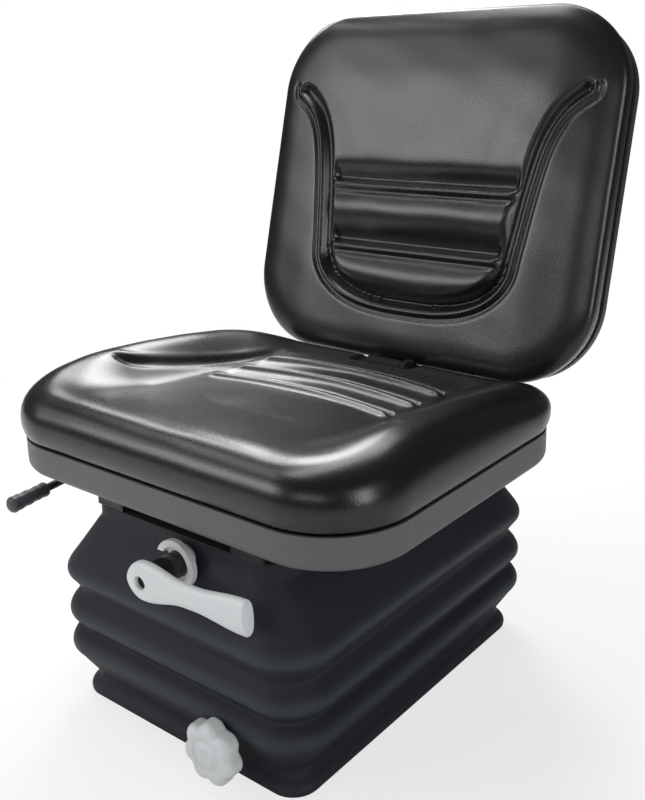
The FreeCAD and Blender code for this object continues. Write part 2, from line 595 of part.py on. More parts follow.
def spring_yoke():
    """A bar across the two springs with the spindle's nut thread in it and a hook pin for each spring."""
    half = "(spring_x + spring_outer / 2)"
    bar = box("yoke_bar", "2 * " + half, "yoke_depth", "yoke_height", "crank_x - " + half,
              "yoke_y - yoke_depth / 2", "crank_z - yoke_height / 2")
    thread = rod("yoke_thread", "spindle_diameter + 2 * running_gap", "yoke_depth + 4", "crank_x",
                 "yoke_y - yoke_depth / 2 - 2", "crank_z", "Y")
    slots = [
        box("yoke_slot_%d" % i, "spring_wire + 2", "yoke_depth", "yoke_height + 2",
            "crank_x %s spring_x - spring_wire / 2 - 1" % sign, "yoke_y", "crank_z - yoke_height / 2 - 1")
        for i, sign in enumerate("-+")
    ]
    return cut("spring_yoke", bar, thread, *slots)


def tension_springs():
    """Two coils, each with a loop at the front for the yoke and one at the rear for the roller shaft."""
    wire, outer = size.spring_wire, size.spring_outer
    radius = (outer - wire) / 2
    pitch = size.spring_length / size.spring_turns
    helix = Part.makeHelix(pitch, size.spring_length, radius)
    section = Part.Wire(Part.makePolygon([
        Vector(radius + wire / 2 * math.cos(a), 0, wire / 2 * math.sin(a))
        for a in [math.radians(60 * k) for k in range(7)]
    ]).Edges)
    coil = Part.Wire(helix).makePipeShell([section], True, True)
    reach = size.pivot_rear_y - size.spring_front_y - size.spring_length
    loop_radius = size.pin_diameter / 2 + 0.3
    pieces = [coil]
    ends = (
        (-wire - 0.2, size.yoke_y + 3 - size.spring_front_y, 0.0),
        (size.spring_length + 0.2, reach + size.spring_length, loop_radius),
    )
    for disc_z, hook_z, hole in ends:
        disc = Part.makeCylinder(radius + wire / 2, wire, Vector(0, 0, disc_z))
        low, high = sorted((disc_z + wire / 2, hook_z))
        link = Part.makeBox(wire, wire * 2, high - low, Vector(-wire / 2, -wire, low))
        piece = disc.fuse(link)
        if hole:
            eye = Part.makeCylinder(hole + wire, wire, Vector(-wire / 2, 0, hook_z), Vector(1, 0, 0))
            bore = Part.makeCylinder(hole, wire * 3, Vector(-wire * 1.5, 0, hook_z), Vector(1, 0, 0))
            piece = piece.fuse(eye).cut(bore)
        pieces.append(piece.removeSplitter())
    solids = []
    for sign in (-1, 1):
        for piece in pieces:
            copy = piece.copy()
            copy.rotate(Vector(), Vector(1, 0, 0), -90)
            lift = size.pivot_top_z
            copy.translate(Vector(size.crank_x + sign * size.spring_x, size.spring_front_y, lift))
            solids.append(copy)
    return feature("tension_springs", Part.makeCompound(solids))


# Height knob
def height_knob():
    """A seven-lobed knob: a thick disc with a round notch between each pair of lobes."""
    body = new_body("height_knob")
    disc = sketch_on(body, "knob_disc", "XZ_Plane")
    draw_circle(disc, "knob_diameter")
    base = pad(body, "knob_blank", disc, "knob_thick")
    fillet(body, "knob_edge", base, "knob_round", lambda e: abs(e.BoundBox.YMin + size.knob_thick) < 0.01)
    notch = sketch_on(body, "knob_notch_circle", "XZ_Plane")
    draw_circle(notch, "2 * knob_notch", "knob_diameter / 2 + knob_notch * 0.35")
    first = pocket(body, "knob_notch_cut", notch, "knob_thick", True)
    pattern = body.newObject("PartDesign::PolarPattern", "knob_notches")
    pattern.Originals = [first]
    pattern.Axis = (plane(body, "Y_Axis"), [""])
    pattern.Angle = 360
    bind(pattern, Occurrences="knob_lobes")
    body.Tip = pattern
    doc.recompute()
    cap = sketch_on(body, "knob_cap_circle", "XZ_Plane", "knob_thick")
    draw_circle(cap, "knob_diameter * 0.42")
    pad(body, "knob_cap", cap, "2")
    hole = sketch_on(body, "knob_hole", "XZ_Plane")
    draw_circle(hole, "knob_spindle")
    pocket(body, "knob_socket", hole, "knob_thick / 2", True)
    return place(body, "knob_x", "knob_back_y", "knob_z")


def knob_parts():
    shank = rod("knob_shank", "knob_spindle", "knob_spindle_end_y - knob_back_y + knob_thick / 2",
                "knob_x", "knob_back_y - knob_thick / 2", "knob_z", "Y")
    collar = rod("knob_collar", "knob_spindle + 8", "4", "knob_x", "knob_plate_y + plate + seat_gap",
                 "knob_z", "Y")
    bush = rod("knob_bush_body", "knob_spindle + 6", "plate", "knob_x", "knob_plate_y", "knob_z", "Y")
    bush_bore = rod("knob_bush_bore", "knob_spindle + 2 * running_gap", "plate + 4", "knob_x",
                    "knob_plate_y - 2", "knob_z", "Y")
    block = box("stop_block", "stop_width", "stop_length", "stop_height", "knob_x - stop_width / 2",
                "stop_y", "plate + soft_gap")
    thread = rod("stop_thread", "knob_spindle + 2 * running_gap", "stop_length + 4", "knob_x",
                 "stop_y - 2", "knob_z", "Y")
    return [join("height_spindle", shank, collar), cut("knob_bush", bush, bush_bore),
            cut("height_stop", block, thread)]


# Damper: an upright tube with an eye on the base, and a rod with an eye on the upper frame
def damper_parts():
    x, y = "damper_x", "damper_y"
    tube = rod("damper_body", "damper_tube", "damper_tube_length", x, y, "damper_low_z + damper_eye / 2 - 2")
    low_eye = rod("damper_low_eye", "damper_eye", "damper_eye_width", x + " - damper_eye_width / 2", y,
                  "damper_low_z", "X")
    bore = rod("damper_tube_bore", "damper_rod + 2 * running_gap", "damper_tube_length", x, y,
               "damper_low_z + damper_eye / 2 + 4")
    low_pin = rod("damper_low_bore", "damper_pin", "60", x + " - 30", y, "damper_low_z", "X")
    bottom = "damper_top_z - travel - damper_rod_below"
    stem = rod("damper_stem", "damper_rod", "damper_top_z - (%s)" % bottom, x, y, bottom)
    top_eye = rod("damper_top_eye", "damper_eye", "damper_eye_width", x + " - damper_eye_width / 2", y,
                  "damper_top_z", "X")
    top_pin = rod("damper_top_bore", "damper_pin", "60", x + " - 30", y, "damper_top_z", "X")
    span = "(damper_eye_width + 2 * plate + 8)"
    pins = [
        rod(name, "damper_pin", span, x + " - %s / 2" % span, y, z, "X")
        for name, z in (("damper_lower_pin", "damper_low_z"), ("damper_upper_pin", "damper_top_z"))
    ]
    return [cut("damper_tube", join("damper_tube_solid", tube, low_eye), bore, low_pin),
            cut("damper_rod", join("damper_rod_solid", stem, top_eye), top_pin), *pins]


def damper_ears(name, low_z, height):
    return [
        box("%s_%d" % (name, i), "plate", "20", height, x, "damper_y - 10", low_z)
        for i, x in enumerate(("damper_x - damper_eye_width / 2 - side_gap - plate",
                               "damper_x + damper_eye_width / 2 + side_gap"))
    ]


# Slide rails
def lower_rail(name, x):
    block = box(name + "_block", "rail_width", "rail_length", "rail_height", x + " - rail_width / 2",
                "rail_front_y", "upper_top_z")
    hollow = box(name + "_hollow", "rail_width - 2 * rail_wall", "rail_length + 4",
                 "rail_height - 2 * rail_wall", x + " - rail_width / 2 + rail_wall", "rail_front_y - 2",
                 "upper_top_z + rail_wall")
    slot = box(name + "_slot", "rail_slot", "rail_length + 4", "rail_height", x + " - rail_slot / 2",
               "rail_front_y - 2", "upper_top_z + rail_wall")
    return cut(name, block, hollow, slot)


def upper_rail(name, x):
    foot_width = "rail_width - 2 * rail_wall - 2 * rail_gap"
    foot = box(name + "_foot", foot_width, "rail_length", "rail_height - 2 * rail_wall - 2 * rail_gap",
               "%s - (%s) / 2" % (x, foot_width), "rail_front_y", "upper_top_z + rail_wall + rail_gap")
    web = box(name + "_web", "rail_web", "rail_length", "pan_bottom_z - upper_top_z - rail_wall - 4",
              x + " - rail_web / 2", "rail_front_y", "upper_top_z + rail_wall + 2")
    flange = box(name + "_flange", "rail_width", "rail_length", "rail_wall", x + " - rail_width / 2",
                 "rail_front_y", "pan_bottom_z - rail_wall")
    return join(name, foot, web, flange)


def front_cross_bar():
    bar = box("bar_flat", "2 * rail_x - rail_web", "16", "3", "-rail_x + rail_web / 2",
              "rail_front_y", "pan_bottom_z - rail_wall - 3")
    lips = box("bar_lip", "2 * rail_x - rail_web", "3", "6", "-rail_x + rail_web / 2",
               "rail_front_y", "pan_bottom_z - rail_wall - 6")
    return join("front_cross_bar", bar, lips)


# Seat pan: a pressed tray with a rounded bottom edge
def seat_pan():
    body = new_body("seat_pan")
    outline = sketch_on(body, "pan_outline", "XY_Plane")
    draw_rounded(outline, "pan_width", "pan_depth", "pan_corner")
    block = pad(body, "pan_block", outline, "pan_height")
    fillet(body, "pan_bottom_edge", block, "pan_round", lambda e: at_height(e, 0.0))
    inside = sketch_on(body, "pan_inside", "XY_Plane", "pan_wall")
    draw_rounded(inside, "pan_width - 2 * pan_wall", "pan_depth - 2 * pan_wall", "pan_corner - pan_wall")
    hollow = pocket(body, "pan_hollow", inside, "pan_height", True)
    fillet(body, "pan_inner_edge", hollow, "pan_round - pan_wall",
           lambda e: at_height(e, size.pan_wall) and e.BoundBox.DiagonalLength > 20)
    place(body, "0", "pan_centre_y", "pan_bottom_z")
    return body


def half_width(y, width, depth, corner):
    """Half the width of a rounded rectangle at a distance from its middle."""
    over = abs(y) - (depth / 2 - corner)
    if over <= 0:
        return width / 2
    return width / 2 - corner + math.sqrt(max(corner ** 2 - over ** 2, 0.0))


def smooth(t):
    t = min(max(t, 0.0), 1.0)
    return t * t * (3 - 2 * t)


def inset_at(x, y, width, depth, corner):
    """Distance from a point inside a rounded rectangle to its outline."""
    over_x, over_y = abs(x) - (width / 2 - corner), abs(y) - (depth / 2 - corner)
    if over_x > 0 and over_y > 0:
        return corner - math.hypot(over_x, over_y)
    return corner - max(over_x, over_y)


def cushion_bottom():
    return size.pan_bottom_z + size.pan_height + size.seam_gap


def cushion_top(x, y):
    """Height of the cushion past its rolled edge: side bolsters that fall rearwards and a dish between."""
    along = (y - size.pan_centre_y) / size.pan_depth
    rear = max((along + 0.16) / 0.646, 0.0) ** 1.6
    front = smooth(-4 * along - 0.76)
    crest = size.seat_side_height - size.seat_rear_drop * rear - size.seat_front_drop * front
    dish = size.seat_dish * (1 - 3.1 * along ** 2)
    across = smooth((abs(x) - size.dish_inner_x) / (size.dish_outer_x - size.dish_inner_x))
    return cushion_bottom() + crest - dish * (1 - across)


def cushion_height(x, y):
    """The cushion's top with its edge rolled over, steep at the outline and level past the roll."""
    inset = inset_at(x, y - size.pan_centre_y, size.pan_width, size.pan_depth, size.pan_corner)
    left = 1 - min(max((inset + size.roll_bulge) / (size.roll_width + size.roll_bulge), 0.0), 1.0)
    widest = cushion_bottom() + size.side_widest
    return widest + (cushion_top(x, y) - widest) * (1 - left ** 2.33) ** 0.43


def cushion_section(y):
    """The seat cushion's outline across one place: flat below, high at the sides, low in the middle."""
    half = half_width(y, size.pan_width, size.pan_depth, size.pan_corner)
    bottom = cushion_bottom()
    right = [
        (0.0, bottom), (0.4 * half, bottom), (0.75 * half, bottom), (half - 16, bottom),
        (half - 3, bottom + 0.2 * size.side_widest), (half, bottom + 0.8 * size.side_widest),
    ]
    inner = half - 0.9 * size.roll_width
    places = [half - t for t in (1.0, 5.0, 13.0, 27.0)]
    places += [inner * t for t in (1.0, 0.82, 0.62, 0.4, 0.2, 0.0)]
    right += [(x, cushion_height(x, y + size.pan_centre_y)) for x in places]
    left = [(-x, z) for x, z in reversed(right[1:-1])]
    curve = Part.BSplineCurve()
    points = [Vector(x, y + size.pan_centre_y, z) for x, z in right + left]
    curve.interpolate(points, PeriodicFlag=True)
    return Part.Wire(curve.toShape())


def groove(places):
    """A round groove along an arc through three places on the cushion's top."""
    points = [Vector(x, y, cushion_top(x, y) + size.groove_lift) for x, y in places]
    path = Part.Wire(Part.Arc(*points).toShape())
    start = path.Edges[0]
    circle = Part.Circle(points[0], start.tangentAt(start.FirstParameter), size.groove_radius)
    return path.makePipeShell([Part.Wire(circle.toShape())], True, False)


def cushion_grooves():
    """The long crease beside each bolster and the bowed ridges between them."""
    tools = []
    middle_y = (size.crease_front_y + size.crease_rear_y) / 2
    middle_x = 0.4 * size.crease_front_x + 0.6 * size.crease_rear_x
    for side in (-1, 1):
        tools.append(groove([(side * size.crease_front_x, size.crease_front_y), (side * middle_x, middle_y),
                             (side * size.crease_rear_x, size.crease_rear_y)]))
    for number in range(int(size.ridge_count)):
        y = size.ridge_first_y + number * size.ridge_pitch
        tools.append(groove([(-size.ridge_half, y), (0.0, y + size.ridge_bow), (size.ridge_half, y)]))
    return tools


def seat_cushion():
    """A crowned body lofted from front to rear, with a plug that sits in the pan."""
    reach = size.pan_depth / 2
    stations = (-0.997, -0.975, -0.93, -0.86, -0.76, -0.6, -0.4, -0.15, 0.1, 0.35, 0.55, 0.75, 0.86, 0.93,
                0.975, 0.997)
    crown = Part.makeLoft([cushion_section(reach * t) for t in stations], True, True)
    inner = size.pan_wall + size.soft_gap
    floor = size.pan_bottom_z + inner
    rings = [
        (size.pan_width - 2 * inner - 12, size.pan_depth - 2 * inner - 12, size.pan_corner - inner - 6,
         floor, size.pan_centre_y),
        (size.pan_width - 2 * inner, size.pan_depth - 2 * inner, size.pan_corner - inner, floor + 6,
         size.pan_centre_y),
        (size.pan_width - 2 * inner, size.pan_depth - 2 * inner, size.pan_corner - inner,
         size.pan_bottom_z + size.pan_height + size.seam_gap - 1, size.pan_centre_y),
        (size.pan_width - 2 * inner - 30, size.pan_depth - 2 * inner - 30, size.pan_corner - inner - 15,
         size.pan_bottom_z + size.pan_height + size.seam_gap + 2, size.pan_centre_y),
    ]
    rear = size.pan_centre_y + reach
    notch = Part.makeBox(size.notch_width, size.notch_depth + 10, 80,
                         Vector(-size.notch_width / 2, rear - size.notch_depth,
                                size.pan_bottom_z + size.pan_height - 1))
    return feature("seat_cushion", crown.fuse(stacked(rings)).cut([notch, *cushion_grooves()]))


# Backrest, in its own frame: x across, y rearwards from the front face, z up the face
def lean(piece):
    turn = FreeCAD.Rotation(Vector(-1, 0, 0), size.recline)
    piece.Placement = FreeCAD.Placement(Vector(0, size.back_face_y, size.back_face_z), turn)
    if piece.TypeId != "Part::Feature":
        place(piece, "0", "back_face_y", "back_face_z")
        piece.setExpression("Placement.Rotation.Angle", bound("recline"))
    return piece


def upright(insets):
    """A solid of bands between rounded outlines that stand up, each given as an inset and a depth."""
    rings = []
    for inset, depth in insets:
        rings.append((size.back_width - 2 * inset, size.back_height - 2 * inset,
                      max(size.back_corner - inset, 12.0), depth, -size.back_height / 2))
    solid = stacked(rings)
    solid.rotate(Vector(), Vector(1, 0, 0), -90)
    return solid


def face_relief():
    """What the moulded U takes from the backrest's face: a shallow panel with two channels across it."""
    side = [
        (size.u_top_x, size.u_top_up), (size.u_side_x + 9, size.u_side_up + 48),
        (size.u_side_x, size.u_side_up), (size.u_low_x, size.u_low_up),
    ]
    low = size.u_low_up - size.u_bottom_up
    bowl = [(0.93, 0.42), (0.76, 0.78), (0.45, 0.96), (0.0, 1.0)]
    half = [Vector(size.u_low_x * x, 0, size.u_low_up - low * t) for x, t in [(1.0, 0.0)] + bowl]
    curve = Part.BSplineCurve()
    curve.interpolate(half + [Vector(-p.x, 0, p.z) for p in reversed(half[:-1])])
    right = [Vector(x, 0, up) for x, up in side]
    left = [Vector(-p.x, 0, p.z) for p in reversed(right)]
    straight = [Part.LineSegment(a, b).toShape() for a, b in zip(right, right[1:])]
    straight += [Part.LineSegment(a, b).toShape() for a, b in zip(left, left[1:])]
    top = Part.LineSegment(left[-1], right[0]).toShape()
    outline = Part.Wire(Part.sortEdges([*straight, curve.toShape(), top])[0])
    window = Part.Face(outline).extrude(Vector(0, size.back_pad, 0))
    window.translate(Vector(0, -size.back_crown, 0))
    second = size.u_side_up - (size.u_side_up - size.u_low_up) * 0.9
    depths = [(size.u_top_up + 1, 0.6), (size.u_side_up + 79, 3.0), (size.u_side_up + 41, 4.8)]
    for channel in (size.u_side_up, second):
        depths += [(channel + 8, 6.0), (channel + 1, 14.0), (channel - 5, 6.5), (channel - 16, 3.5),
                   (channel - 38, 1.5), (channel - 60, 4.0)]
    depths += [(size.u_bottom_up - 1, 6.0)]
    wide = size.u_top_x + 5
    section = [Vector(-wide, depth, up) for up, depth in depths]
    section += [Vector(-wide, -size.back_crown, depths[-1][0]), Vector(-wide, -size.back_crown, depths[0][0])]
    ribbed = Part.Face(Part.makePolygon(section + section[:1])).extrude(Vector(2 * wide, 0, 0))
    return window.common(ribbed)


def backrest_cushion():
    crown, thick = size.back_crown, size.back_pad
    body = upright([
        (0.075 * size.back_width, 0.0), (24.0, 1.2), (11.0, 4.5), (3.0, 0.65 * crown), (0.0, 1.1 * crown),
        (0.6, 0.75 * thick), (4.0, 0.93 * thick), (9.0, thick),
    ])
    inner = size.shell_inset + size.shell_wall + size.soft_gap
    floor = size.back_pad + size.shell_gap + size.shell_depth - size.shell_wall - size.soft_gap
    plug = upright([(inner + 2, thick - 4), (inner + 2, thick + size.shell_gap + 8),
                    (inner + 0.6 * size.shell_taper, floor - 4), (inner + size.shell_taper, floor)])
    return lean(feature("backrest_cushion", body.cut(face_relief()).fuse(plug)))


def backrest_shell():
    """A moulded tray behind the cushion, open to the front, whose edges taper to a flat back."""
    front = size.back_pad + size.shell_gap
    back = front + size.shell_depth
    rim, taper, wall = size.shell_inset, size.shell_taper, size.shell_wall
    outer = upright([(rim, front), (rim, front + 9), (rim + 0.3 * taper, back - 5),
                     (rim + 0.65 * taper, back - 1.2), (rim + taper, back)])
    inner = upright([(rim + wall, front - 2), (rim + wall, front + 9),
                     (rim + wall + 0.3 * taper, back - 5 - wall),
                     (rim + wall + 0.65 * taper, back - 1.2 - wall), (rim + wall + taper, back - wall)])
    return lean(feature("backrest_shell", outer.cut(inner)))


def knuckle_place():
    """The hinge knuckle's centre in the backrest's own frame."""
    across = size.knuckle_y - size.back_face_y
    up = size.knuckle_z - size.back_face_z
    angle = math.radians(size.recline)
    rearward = across * math.cos(angle) - up * math.sin(angle)
    return rearward, across * math.sin(angle) + up * math.cos(angle)


def backrest_bracket():
    """A barrel on the hinge pin, a strap below the cushion and a plate up the back of the shell."""
    rearward, up = knuckle_place()
    wide, thick = size.knuckle_width, size.bracket_plate
    back = size.back_pad + size.shell_gap + size.shell_depth + 0.3
    low = up - size.knuckle_radius + 5.3
    barrel = Part.makeCylinder(size.knuckle_radius, wide, Vector(-wide / 2, rearward, up), Vector(1, 0, 0))
    strap = Part.makeBox(wide, back + thick - rearward, thick, Vector(-wide / 2, rearward, low))
    upstand = Part.makeBox(size.strap_width, thick, size.strap_height,
                           Vector(-size.strap_width / 2, back, low))
    corners = [e for e in upstand.Edges if e.BoundBox.YLength > thick - 0.01 and e.BoundBox.ZMin > low + 20]
    upstand = upstand.makeFillet(18, corners)
    web = Part.makeBox(size.strap_width, 14, thick, Vector(-size.strap_width / 2, back + thick - 14, low))
    bore = Part.makeCylinder(size.hinge_pin / 2 + size.running_gap, wide + 4,
                             Vector(-wide / 2 - 2, rearward, up), Vector(1, 0, 0))
    whole = barrel.fuse([strap, upstand, web]).removeSplitter().cut(bore)
    for x, z in bracket_bolt_places():
        hole = Part.makeCylinder(size.crank_bolt / 2, thick + 4, Vector(x, back - 2, z), Vector(0, 1, 0))
        whole = whole.cut(hole)
    return lean(feature("backrest_bracket_upper", whole))


def bracket_bolt_places():
    reach = size.strap_width / 2 - size.strap_bolt_inset
    heights = (size.strap_bolt_low, size.strap_height - size.strap_bolt_drop)
    return [(sx * reach, z) for sx in (-1, 1) for z in heights]


def backrest_bolts():
    face = size.back_pad + size.shell_gap + size.shell_depth + 0.3 + size.bracket_plate
    solids = []
    for x, z in bracket_bolt_places():
        spot = Vector(x, face, z)
        head = Part.makeCylinder(size.bolt_head / 2, size.bolt_head_height, spot, Vector(0, 1, 0))
        shank = Part.makeCylinder(size.crank_bolt / 2, size.bracket_plate + 0.1, spot, Vector(0, -1, 0))
        solids.append(head.fuse(shank))
    return lean(feature("backrest_bolts", Part.makeCompound(solids)))


def bracket_lower():
    """A wide plate on the pan's rear wall with two ears that carry the hinge pin."""
    rear = "pan_centre_y + pan_depth / 2 + 0.3"
    flat = box("bracket_flat", "bracket_width", "bracket_plate", "bracket_top_z - pan_bottom_z - 8",
               "-bracket_width / 2", rear, "pan_bottom_z + 8")
    gap = box("bracket_gap", "knuckle_width + 2 * ear_gap", "30", "30",
              "-knuckle_width / 2 - ear_gap", "knuckle_y - 15", "bracket_top_z - 9")
    ears = []
    for i, x in enumerate(("-knuckle_width / 2 - ear_gap - ear_width", "knuckle_width / 2 + ear_gap")):
        ears.append(box("bracket_ear_%d" % i, "ear_width", rear + " + bracket_plate - knuckle_y", "17",
                        x, "knuckle_y", "knuckle_z - 8.5"))
        ears.append(rod("bracket_ear_round_%d" % i, "17", "ear_width", x, "knuckle_y", "knuckle_z", "X"))
    bore = rod("bracket_bore", "hinge_pin", "knuckle_width + 60", "-knuckle_width / 2 - 30", "knuckle_y",
               "knuckle_z", "X")
    return cut("backrest_bracket_lower", join("bracket_welded", flat, *ears), gap, bore)


def hinge_pin():
    return rod("hinge_pin_piece", "hinge_pin", "knuckle_width + 2 * ear_gap + 2 * ear_width + 6",
               "-knuckle_width / 2 - ear_gap - ear_width - 3", "knuckle_y", "knuckle_z", "X")


def bracket_bolts():
    heads = []
    for i, x in enumerate(("-bracket_width / 2 + 18", "-bracket_width / 2 + 62",
                           "bracket_width / 2 - 62", "bracket_width / 2 - 18")):
        heads.append(rod("bracket_bolt_%d" % i, "bolt_head", "bolt_head_height", x,
                         "pan_centre_y + pan_depth / 2 + 0.3 + bracket_plate", "pan_bottom_z + 20", "Y"))
    group = doc.addObject("Part::Compound", "bracket_bolts")
    group.Links = heads
    return group


# Slide lever: a bent rod with a pawl at its pivot and a grip on its outer end
def bent_path(points, radius):
    edges = []
    here = points[0]
    for before, corner, after in zip(points, points[1:], points[2:]):
        inward, outward = (before - corner).normalize(), (after - corner).normalize()
        half = math.acos(inward.dot(outward)) / 2
        trim = radius / math.tan(half)
        middle = (inward + outward).normalize() * (radius / math.sin(half) - radius)
        start, end = corner + inward * trim, corner + outward * trim
        edges.append(Part.LineSegment(here, start).toShape())
        edges.append(Part.Arc(start, corner + middle, end).toShape())
        here = end
    edges.append(Part.LineSegment(here, points[-1]).toShape())
    return Part.Wire(edges)


def grip_ends():
    rear = Vector(size.grip_x, size.grip_rear_y, size.grip_z)
    tip = Vector(size.grip_x + 4, size.grip_rear_y - size.grip_length, size.grip_z - 2)
    return rear, tip


def slide_lever():
    rear, tip = grip_ends()
    pivot = Vector(size.lever_pivot_x, size.lever_pivot_y, size.lever_z)
    outer = rear + (rear - tip).normalize() * (size.grip_rear_y - size.lever_outer_y) * -1
    elbow = pivot + Vector(-40, -34, -4)
    end = tip - (tip - rear).normalize() * 4
    path = bent_path([pivot + Vector(-4, -4, 0), elbow, outer, end], 24)
    start = path.Edges[0]
    circle = Part.Circle(start.Vertexes[0].Point, start.tangentAt(0), size.lever_rod / 2)
    section = Part.Wire(circle.toShape())
    bar = path.makePipeShell([section], True, False)
    hub = Part.makeCylinder(9, 8, pivot - Vector(0, 0, 4))
    pawl_x = -size.rail_x - size.rail_width / 2 - 0.4
    pawl = Part.makeBox(pawl_x - size.lever_pivot_x, 18, 4, pivot + Vector(0, -30, -2))
    arm = Part.makeBox(8, 34, 4, pivot + Vector(-4, -30, -2))
    bore = Part.makeCylinder(size.crank_bolt / 2 + size.running_gap, 20, pivot - Vector(0, 0, 10))
    return feature("slide_lever", bar.fuse([hub, pawl, arm]).cut(bore))


def slide_lever_grip():
    """A moulded grip: a tapered sleeve with three finger rings and a bulb at the tip."""
    rear, tip = grip_ends()
    radius, length = size.grip_diameter / 2, size.grip_length
    points = [Vector(0.0, 0, 0), Vector(radius * 0.72, 0, 0), Vector(radius * 0.8, 0, length * 0.08)]
    curve = Part.BSplineCurve()
    waves = []
    for step in range(13):
        t = step / 12
        waves.append(Vector(radius * (0.84 + 0.07 * math.cos(6 * math.pi * t)), 0, length * (0.08 + 0.7 * t)))
    curve.interpolate(waves)
    bulb = Part.Arc(waves[-1], Vector(radius, 0, length * 0.9), Vector(radius * 0.45, 0, length)).toShape()
    edges = [
        Part.LineSegment(points[0], points[1]).toShape(),
        Part.LineSegment(points[1], waves[0]).toShape(),
        curve.toShape(), bulb,
        Part.LineSegment(Vector(radius * 0.45, 0, length), Vector(0, 0, length)).toShape(),
        Part.LineSegment(Vector(0, 0, length), Vector()).toShape(),
    ]
    solid = Part.Face(Part.Wire(edges)).revolve(Vector(), Vector(0, 0, 1), 360)
    bore = Part.makeCylinder(size.lever_rod / 2 + 0.05, length - 3.5, Vector())
    grip = feature("slide_lever_grip", solid.cut(bore))
    turn = FreeCAD.Rotation(Vector(0, 0, 1), tip - rear)
    grip.Placement = FreeCAD.Placement(rear, turn)
    return grip


def lever_pivot():
    """A bolt that hangs from a small plate under the right rail's flange."""
    tab = box("lever_tab", "-lever_pivot_x - rail_x - rail_width / 2 + 9", "22", "rail_wall",
              "lever_pivot_x - 9", "lever_pivot_y - 11", "pan_bottom_z - rail_wall")
    pin = rod("lever_pin", "crank_bolt", "pan_bottom_z - lever_z + 6", "lever_pivot_x", "lever_pivot_y",
              "lever_z - 6")
    head = rod("lever_pin_head", "crank_bolt + 5", "1.2", "lever_pivot_x", "lever_pivot_y", "lever_z - 6")
    return join("lever_pivot", tab, pin, head)


def pan_bolts():
    heads = []
    spots = ("rail_front_y + pan_bolt_front", "rail_front_y + rail_length - pan_bolt_rear")
    for i, (sx, y) in enumerate((sx, y) for sx in ("-", "") for y in spots):
        heads.append(rod("pan_bolt_%d" % i, "bolt_head - 2", "4", sx + "(rail_x + 12)", y,
                         "pan_bottom_z - rail_wall - 4"))
    group = doc.addObject("Part::Compound", "pan_bolts")
    group.Links = heads
    return group


def shaft(name, half_length, y, z):
    return rod(name, "pin_diameter", "2 * (%s)" % half_length, "-(%s)" % half_length, y, z, "X")


